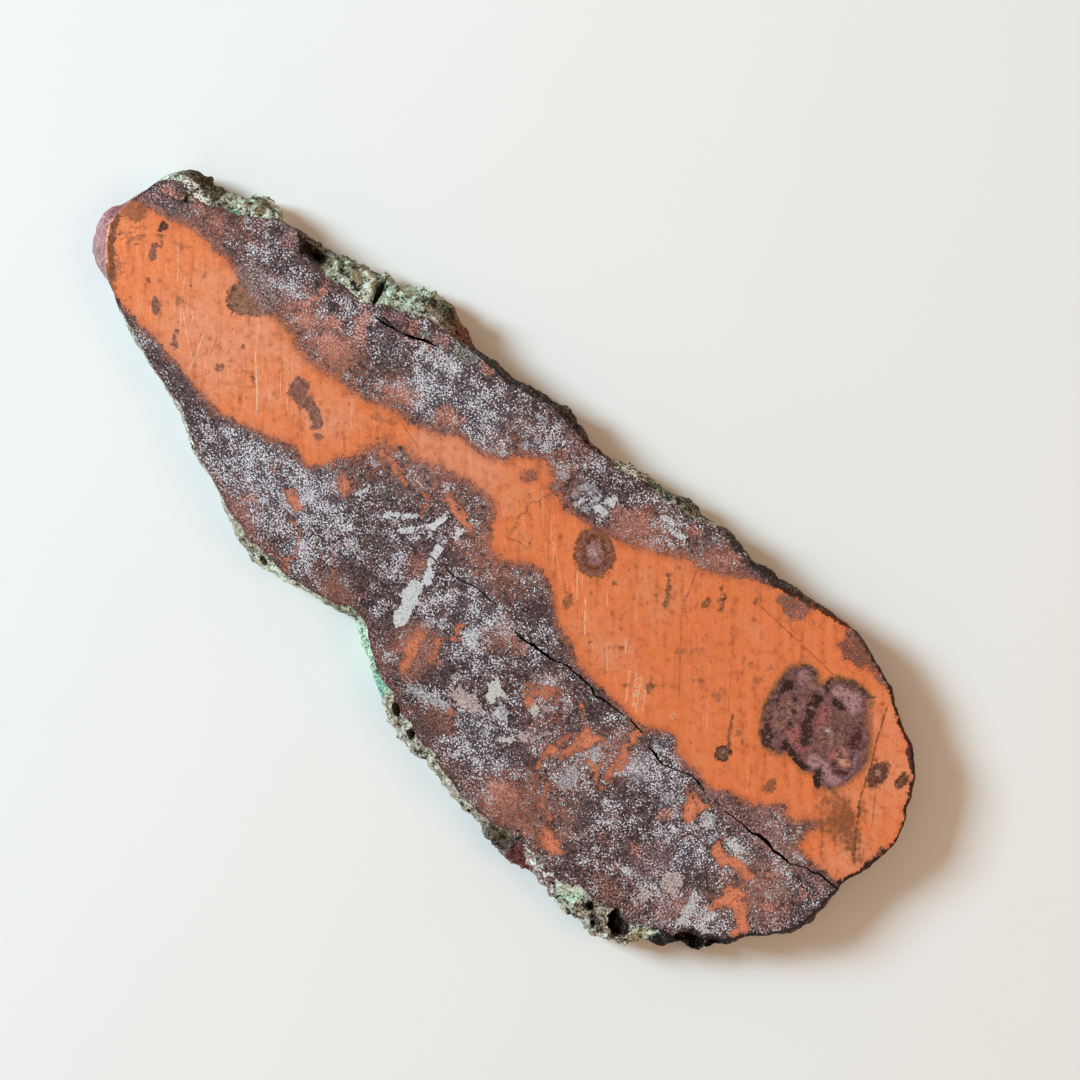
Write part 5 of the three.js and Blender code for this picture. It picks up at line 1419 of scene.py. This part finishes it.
# Colours of the rock
ROCK_SHADE = tint(56, 39, 41)
ROCK_LIGHT = tint(110, 84, 82)
ROCK_GREY = tint(88, 78, 86)
RUST_SHADE = tint(104, 60, 50)
RUST_LIGHT = tint(178, 108, 84)
TONE_SHADE = tint(50, 34, 34)
TONE_LIGHT = tint(190, 170, 166)
SPECK_DULL = tint(154, 141, 145)
SPECK_BRIGHT = tint(236, 236, 240)
POCKET = tint(26, 18, 21)
DARK_NET = tint(32, 21, 22)
BROWN_NET = tint(112, 80, 72)
MILK = tint(186, 180, 182)
CRYSTAL_NET = tint(82, 68, 74)

# Colours of the copper
COPPER = tint(255, 146, 89)
BLUSH_COPPER = tint(254, 168, 128)
DEEP_COPPER = tint(222, 114, 68)
GRAINED_COPPER = tint(206, 108, 68)
GLOWING_COPPER = tint(255, 184, 142)
ISLAND_COPPER = tint(250, 166, 132)
ISLAND_BROWN = tint(150, 88, 70)
FRECKLE = tint(140, 76, 48)
NICK = tint(150, 82, 52)
RUBBED_EDGE = tint(186, 100, 70)
FINE_SCRATCH = tint(255, 206, 172)
LONG_SCRATCH = tint(255, 222, 190)
LONG_SCORE = tint(116, 66, 40)
BRUSHED = tint(200, 104, 68)
SWEPT_DARK = tint(204, 106, 66)
SWEPT_PALE = tint(255, 186, 142)
STAIN_SHADE = tint(42, 24, 24)
STAIN_PALE = tint(196, 158, 152)

# Colours of the painted shade in the cracks, on their walls, along the face's edge and in the skin's pits,
# and of the skin's grit
CRACK_SHADE = tint(16, 10, 10)
CRACK_WALL_SHADE = tint(14, 10, 9)
EDGE_SHADE = tint(34, 20, 18)
EDGE_BROWN = tint(104, 62, 52)
EDGE_SHADOW_BLACK = tint(24, 14, 14)
GRIT = tint(214, 210, 184)
PIT_SHADE = tint(22, 17, 13)

# The ways that the polishing went, in degrees about Z
POLISH_WAY = -47
CROSS_WAY = -38
BACK_WAY = 8

# How deep the bumps of the skin and of the polished face are
SKIN_BUMPS = 0.9
POLISH_BUMPS = 0.035


def sway(grain, amount):
    """A noise as a push both ways from nothing."""
    return (grain - 0.5) * amount


class Grains:
    """The noises that the slab's patterns share, named from broad to dusty, and where they are read."""

    def __init__(self, paint):
        object_place = paint.node("ShaderNodeTexCoord", None, None, "Object")
        self.place = paint.scaled(object_place, 1 / MM)
        self.broad = paint.grain(self.place, 0.16, 3.0)
        self.cloudy = paint.grain(self.place, 0.5, 1.0)
        self.patchy = paint.grain(self.place, 0.55, 3.0)
        self.coarse = paint.grain(self.place, 1.1, 3.0, 0.6)
        self.fine = paint.grain(self.place, 2.6, 2.0, 0.6)
        self.netted = paint.grain(self.place, 2.9, 1.0)
        self.dusty = paint.grain(self.place, 5.6, 1.0)
        self.specks = self.netted * 0.6 + self.dusty * 0.4
        self.sweep = paint.grain(paint.turned(self.place, POLISH_WAY, (13.0, 1.3, 1.0)), 1.0, 3.0, 0.6)


def rock_colour(paint, grains, near_band, warm):
    """Dark and brown rock with rust, soft stretches of tone, pale specks and black pockets."""
    speckled = paint.kept("speckled")
    rock = paint.mix(paint.ramp(grains.coarse, 0.38, 0.62), ROCK_SHADE, ROCK_LIGHT)
    rock = paint.mix(paint.ramp(speckled, 0.3, 1.3) * 0.6, rock, ROCK_GREY)

    rust = paint.ramp(warm + sway(grains.broad, 1.8) + sway(grains.patchy, 2.2), 0.1, 1.2)
    russet = paint.mix(paint.ramp(grains.netted, 0.4, 0.6), RUST_SHADE, RUST_LIGHT)
    rock = paint.mix(rust * 0.75, rock, russet)

    tone_edge = paint.kept("tone_depth") + sway(grains.coarse, 2.4) + sway(grains.netted, 1.6)
    tone = paint.ramp(tone_edge, -0.8, 0.8) * paint.kept("tone_colour", "Alpha")
    toned = paint.mix(paint.ramp(grains.netted, 0.44, 0.62), TONE_SHADE, TONE_LIGHT)
    toned = paint.mix(0.6, toned, paint.kept("tone_colour", "Color"))
    rock = paint.mix(tone, rock, toned)

    clumps = speckled * 0.055 + sway(grains.cloudy, 0.36) + sway(grains.broad, 0.24)
    clumps = clumps - tone * 0.05 - near_band * 0.05
    speck = paint.ramp(grains.specks + clumps, 0.565, 0.62)
    speck = speck * (0.94 - rust * 0.35 - tone * 0.5 - near_band * 0.3)
    pale = paint.mix(paint.ramp(grains.dusty, 0.42, 0.62), SPECK_DULL, SPECK_BRIGHT)
    rock = paint.mix(paint.most(speck, 0.0), rock, pale)

    pocket = paint.ramp(grains.specks + clumps * 0.6, 0.40, 0.47, 1.0, 0.0)
    rock = paint.mix(pocket * (0.75 - near_band * 0.5), rock, POCKET)
    darker = paint.ramp(speckled * -1.0 + sway(grains.patchy, 2.0), 0.35, 1.1)
    net = paint.mix(paint.ramp(grains.netted, 0.44, 0.58), DARK_NET, BROWN_NET)
    return paint.mix(darker * 0.65, rock, net)


def with_crystals(paint, grains, rock):
    """Pale crystals laid over the rock, with a dark net through them."""
    share = paint.kept("crystal_colour", "Alpha")
    edge = paint.kept("crystal_depth") + sway(grains.coarse, 4.0) + sway(grains.netted, 3.0)
    crystal = paint.ramp(edge, -0.3, 0.5) * share
    pale = paint.kept("crystal_colour", "Color")
    pale = paint.mix(paint.ramp(grains.coarse, 0.5, 0.65) * 0.5, pale, MILK)
    net = paint.ramp(grains.specks, 0.42, 0.51, 1.0, 0.0) * (1.25 - share * 0.85)
    return paint.mix(crystal, rock, paint.mix(net, pale, CRYSTAL_NET))


def copper_share(paint, grains, warm):
    """Where copper shows: within its ragged outlines, and as flecks in the warm rock."""
    frayed = paint.kept("frayed")
    ragged = sway(grains.coarse, 1.5) + sway(grains.netted, 1.3) + sway(grains.dusty, 0.8)
    ragged = ragged * (0.9 + frayed * 1.7)
    outlined = paint.ramp(paint.kept("metal") + ragged, -0.22, 0.22)
    fleck_field = grains.specks * -1.0 + 1.0 + paint.least(warm, 1.4) * 0.03 + frayed * 0.035
    flecks = paint.ramp(fleck_field, 0.585, 0.63) * paint.ramp(warm + frayed, 0.2, 0.8)
    return paint.most(outlined, flecks * 0.7)


def copper_colour(paint, grains, band):
    """A warm sheet with cloudy tone, browner islands, small dark freckles and a rubbed edge."""
    blush = paint.ramp(paint.kept("blush") + sway(grains.broad, 2.0), 0.0, 1.0)
    copper = paint.mix(blush, COPPER, BLUSH_COPPER)
    copper = paint.mix(paint.ramp(grains.patchy, 0.42, 0.7) * 0.45, copper, DEEP_COPPER)
    copper = paint.mix(paint.ramp(grains.specks, 0.5, 0.64) * 0.4, copper, GRAINED_COPPER)
    copper = paint.mix(paint.ramp(grains.dusty, 0.52, 0.68) * 0.35, copper, GLOWING_COPPER)

    island = paint.ramp(band, -0.4, -1.4)
    copper = paint.mix(island * 0.8, copper, ISLAND_COPPER)
    browned = paint.ramp(grains.netted * 0.6 + grains.coarse * 0.4, 0.50, 0.60)
    copper = paint.mix(island * browned * 0.8, copper, ISLAND_BROWN)

    freckle = paint.ramp(paint.cells(grains.place, 0.62), 0.0, 0.13, 1.0, 0.0)
    freckle = freckle * paint.ramp(grains.patchy, 0.48, 0.6)
    speckle = paint.ramp(paint.cells(grains.place, 1.5), 0.04, 0.16, 1.0, 0.0)
    speckle = speckle * paint.ramp(grains.coarse, 0.5, 0.6)
    copper = paint.mix(paint.most(freckle, speckle * 0.8) * 0.75, copper, FRECKLE)
    nick_place = paint.turned(grains.place, POLISH_WAY, (2.6, 1.1, 1.0))
    nick = paint.ramp(paint.cells(nick_place, 1.0), 0.06, 0.18, 1.0, 0.0)
    nick = nick * paint.ramp(grains.patchy, 0.46, 0.56)
    copper = paint.mix(nick * 0.7, copper, NICK)
    rubbed = paint.ramp(paint.kept("metal") + sway(grains.coarse, 3.0), 0.0, 1.4, 1.0, 0.0)
    return paint.mix(rubbed * 0.3, copper, RUBBED_EDGE)


def with_scratches(paint, grains, copper):
    """The copper with fine scratches, brush marks and long drawn lines, and the fine scratches alone."""
    scuffed = paint.kept("scuffed")
    main_way = paint.grain(paint.turned(grains.place, POLISH_WAY, (9.0, 0.14, 1.0)), 1.0, 2.0, 0.6)
    cross_way = paint.grain(paint.turned(grains.place, CROSS_WAY, (14.0, 0.18, 1.0)), 1.0, 2.0, 0.6)
    back_way = paint.grain(paint.turned(grains.place, BACK_WAY, (7.0, 0.25, 1.0)), 1.0, 2.0)
    scratch = paint.ramp(main_way + scuffed * 0.09, 0.68, 0.76)
    scratch = paint.least(scratch + paint.ramp(cross_way + scuffed * 0.08, 0.68, 0.76), 1.0)
    copper = paint.mix(scratch * (0.08 + scuffed * 0.30), copper, FINE_SCRATCH)

    long_scratch = paint.thin_line("scratch", 0.16, sway(grains.coarse, 0.3))
    long_scratch = long_scratch * paint.ramp(grains.coarse, 0.40, 0.52, 0.35, 1.0)
    copper = paint.mix(long_scratch * paint.kept("scratch_strength") * 0.8, copper, LONG_SCRATCH)
    brushed = sway(main_way, 0.6) + sway(back_way, 0.4)
    copper = paint.mix(paint.ramp(brushed, 0.0, 0.16) * 0.30, copper, BRUSHED)
    copper = paint.mix(paint.ramp(grains.sweep, 0.5, 0.68) * 0.22, copper, SWEPT_DARK)
    copper = paint.mix(paint.ramp(grains.sweep, 0.5, 0.34) * 0.14, copper, SWEPT_PALE)
    score = paint.thin_line("score", 0.2, sway(grains.coarse, 0.4))
    score = score * paint.ramp(grains.coarse, 0.36, 0.5, 0.4, 1.0)
    copper = paint.mix(score * paint.kept("score_strength") * 0.85, copper, LONG_SCORE)
    return copper, scratch


def with_stains(paint, grains, copper):
    """The copper with its smudge, halo, stains and oxide spots, and how dull these leave it."""
    mottled = sway(grains.patchy, 1.6) + sway(grains.sweep, 2.2) + sway(grains.coarse, 1.6)
    smudge = paint.ramp(paint.kept("smudged") + mottled, 0.1, 1.5)
    copper = paint.mix(smudge * 0.85, copper, SMUDGE)
    halo = paint.ramp(paint.kept("halo") + sway(grains.coarse, 2.4), 0.1, 1.3, 1.0, 0.0)
    copper = paint.mix(halo * 0.75, copper, HALO)
    dull = halo * 0.6
    shaded = paint.ramp(grains.coarse * 0.5 + grains.specks * 0.5, 0.48, 0.60) * 0.72
    paler = paint.ramp(grains.coarse * 0.4 + grains.specks * 0.6, 0.46, 0.36) * 0.4
    for name in ("stain", "inner"):
        edge = paint.kept(name + "_depth") + sway(grains.coarse, 2.4) + sway(grains.netted, 1.6)
        mark = paint.ramp(edge, -0.6, 0.6) * paint.kept(name + "_colour", "Alpha")
        hue = paint.mix(shaded, paint.kept(name + "_colour", "Color"), STAIN_SHADE)
        hue = paint.mix(paler, hue, STAIN_PALE)
        copper = paint.mix(mark, copper, hue)
        dull = paint.most(dull, mark)
    return copper, dull


def with_dark_lines(paint, grains, face):
    """The sawn face with painted shade in its fine cracks and all round its edge, and black painted shadow
    along the edge in places.
    """
    # Painted shade: a thin black line along each hairline and each open crack
    crack_line_shade = paint.thin_line("crack_line_shade", 0.2, sway(grains.fine, 0.4))
    face = paint.mix(crack_line_shade * 0.95, face, CRACK_SHADE)
    inward = paint.kept("inward")
    shaded = paint.ramp(inward + sway(grains.coarse, 2.4) + sway(grains.netted, 2.0), 0.0, 0.8, 1.0, 0.0)
    face = paint.mix(shaded * 0.5, face, paint.mix(grains.netted, EDGE_SHADE, EDGE_BROWN))
    # Painted shadow: a broken black line at the face's edge, where the spots above say
    edge_shadow = paint.ramp(inward + sway(grains.coarse, 2.2), 0.25, 0.6, 1.0, 0.0)
    edge_shadow = edge_shadow * paint.ramp(paint.kept("edge_shadow"), 0.2, 0.8)
    return paint.mix(edge_shadow * 0.92, face, EDGE_SHADOW_BLACK)


def skin_colour(paint, grains):
    """The weathered skin: painted highlight on its knobs, and black painted shade in its pits and on the
    walls of the cracks.
    """
    relief = paint.kept("relief")
    lean = paint.ramp(grains.coarse * 0.6 + grains.netted * 0.4, 0.43, 0.57)
    skin = paint.mix(lean, paint.kept("skin_main", "Color"), paint.kept("skin_second", "Color"))
    edge = paint.kept("rim_depth") + sway(grains.coarse, 2.0) + sway(grains.netted, 1.6)
    mark = paint.ramp(edge, -0.5, 0.5) * paint.kept("rim_colour", "Alpha")
    skin = paint.mix(mark, skin, paint.kept("rim_colour", "Color"))

    uneven = 1 - paint.kept("smooth") * 0.85
    # Painted light and shade: the skin is made lighter on its knobs and darker in its hollows, with a random
    # unevenness besides
    lit = (relief * 0.8 + sway(grains.fine, 2.0) + sway(grains.netted, 1.6)) * uneven + 0.1
    skin = paint.scaled(skin, paint.ramp(lit, -0.55, 0.6, 0.17, 1.85))
    grit = paint.ramp(grains.specks + relief * 0.06, 0.60, 0.66)
    skin = paint.mix(grit * 0.55, skin, GRIT)
    # Painted shade: near-black in the skin's pits
    pit_edge = relief + sway(grains.fine, 1.6) + sway(grains.dusty, 0.8)
    pit_shade = paint.ramp(pit_edge, -0.42, -0.16, 1.0, 0.0)
    skin = paint.mix(pit_shade * 0.92 * uneven, skin, PIT_SHADE)
    # Painted shade: skin inside the face's edge, such as the walls of the open cracks, goes near-black
    return paint.mix(paint.ramp(paint.kept("inward"), 0.5, 0.9), skin, CRACK_WALL_SHADE)


def copper_and_rock():
    """Polished copper and speckled rock on the sawn faces, and the weathered skin on the rim."""
    paint = Paint("copper_and_rock")
    grains = Grains(paint)
    height = paint.node("ShaderNodeSeparateXYZ", None, {0: grains.place}, 2)
    sawn_top = paint.math("GREATER_THAN", height, THICKNESS - SAWN_WITHIN)
    sawn_below = paint.math("LESS_THAN", height, SAWN_WITHIN)
    sawn = paint.most(sawn_top, sawn_below)

    band = paint.kept("band")
    near_band = paint.ramp(band, -2.3, 0.2)
    warm = paint.kept("warm") + near_band * 0.8
    rock = with_crystals(paint, grains, rock_colour(paint, grains, near_band, warm))
    share = copper_share(paint, grains, warm)
    copper, scratch = with_scratches(paint, grains, copper_colour(paint, grains, band))
    copper, dull = with_stains(paint, grains, copper)
    face = with_dark_lines(paint, grains, paint.mix(share, rock, copper))
    colour = paint.mix(sawn, skin_colour(paint, grains), face)

    bare = share * (1 - dull * 0.9) * sawn
    roughness = 0.86 - sawn * (0.34 - sway(grains.fine, 0.3)) - bare * 0.08 + scratch * bare * 0.1
    metallic = bare * 0.65
    skin_height = grains.coarse * 0.6 + grains.fine * 0.4
    face_height = scratch * 0.3 * share + grains.fine * 0.5 * (1 - share) + grains.patchy * 0.25
    bumps = [
        (skin_height * (1 - sawn), SKIN_BUMPS * MM),
        (face_height * sawn, POLISH_BUMPS * MM),
    ]
    return paint.finish(colour, roughness, metallic, bumps)


def pale_floor():
    """A pale painted board with a very soft unevenness."""
    paint = Paint("pale_floor")
    place = paint.node("ShaderNodeTexCoord", None, None, "Object")
    soft = paint.grain(place, 18.0, 3.0)
    colour = paint.mix(soft * 0.5, tint(238, 236, 231), tint(233, 230, 224))
    return paint.finish(colour, 0.85, 0.0, [(soft, 0.1 * MM)])


# The room: a pale floor, soft lights and a camera straight above

FLOOR_SIZE = 4  # in metres
FLOOR_DROP = 0.00002  # in metres, so that the floor and the underside don't share a plane
CAMERA_TURN = math.radians(43)
PICTURE_MIDDLE = (7.61, 9.48)  # counted from the mark
PICTURE_WIDTH = 188.35  # how much of the floor the picture takes in at the height of the face
CAMERA_HEIGHT = 420.0  # above the polished face
SENSOR_WIDTH = 36


def lay_floor():
    """The board that the slab lies on."""
    bpy.ops.object.select_all(action="DESELECT")
    bpy.ops.mesh.primitive_plane_add(size=FLOOR_SIZE, location=(0, 0, -FLOOR_DROP))
    floor = freeze(bpy.context.object)
    floor.name = "floor"
    floor.data.materials.append(pale_floor())


def add_light(name, across, up, height, size, power, colour):
    """A square soft light, placed in metres by the picture's own directions and aimed at the slab."""
    c, s = math.cos(CAMERA_TURN), math.sin(CAMERA_TURN)
    spot = Vector((across * c - up * s, across * s + up * c, height))
    lamp = bpy.data.lights.new(name, "AREA")
    lamp.size = size
    lamp.energy = power
    lamp.color = colour
    light = bpy.data.objects.new(name, lamp)
    light.location = spot
    light.rotation_euler = (-spot).to_track_quat("-Z", "Y").to_euler()
    bpy.context.scene.collection.objects.link(light)


def light_room():
    """Cool light from the upper left, a weak warm lamp on the right and a warm room all round."""
    add_light("window", -1.1, 0.46, 0.80, 0.46, 28.0, (0.60, 0.845, 1.0))
    add_light("lamp", 0.62, -0.1, 0.70, 0.40, 1.2, (1.0, 0.60, 0.25))
    world = bpy.data.worlds.new("room")
    world.use_nodes = True
    sky = world.node_tree.nodes["Background"]
    sky.inputs["Color"].default_value = (1.0, 0.75, 0.60, 1)
    sky.inputs["Strength"].default_value = 0.45
    bpy.context.scene.world = world
    bpy.context.scene.view_settings.view_transform = "Standard"


def set_camera():
    """A camera that looks straight down, turned so that the slab lies as it was photographed."""
    lens = bpy.data.cameras.new("camera")
    lens.sensor_width = SENSOR_WIDTH
    lens.lens = SENSOR_WIDTH * CAMERA_HEIGHT / PICTURE_WIDTH
    lens.clip_start = 0.01
    camera = bpy.data.objects.new("camera", lens)
    x, y = from_mark(*PICTURE_MIDDLE)
    camera.location = (x * MM, y * MM, (THICKNESS + CAMERA_HEIGHT) * MM)
    camera.rotation_euler = (0, 0, CAMERA_TURN)
    bpy.context.scene.collection.objects.link(camera)
    bpy.context.scene.camera = camera


set_camera()
light_room()
lay_floor()
slab = make_slab()
survey(slab)
slab.data.materials.clear()
slab.data.materials.append(copper_and_rock())
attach(slab, "root")
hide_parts("copper_slab")
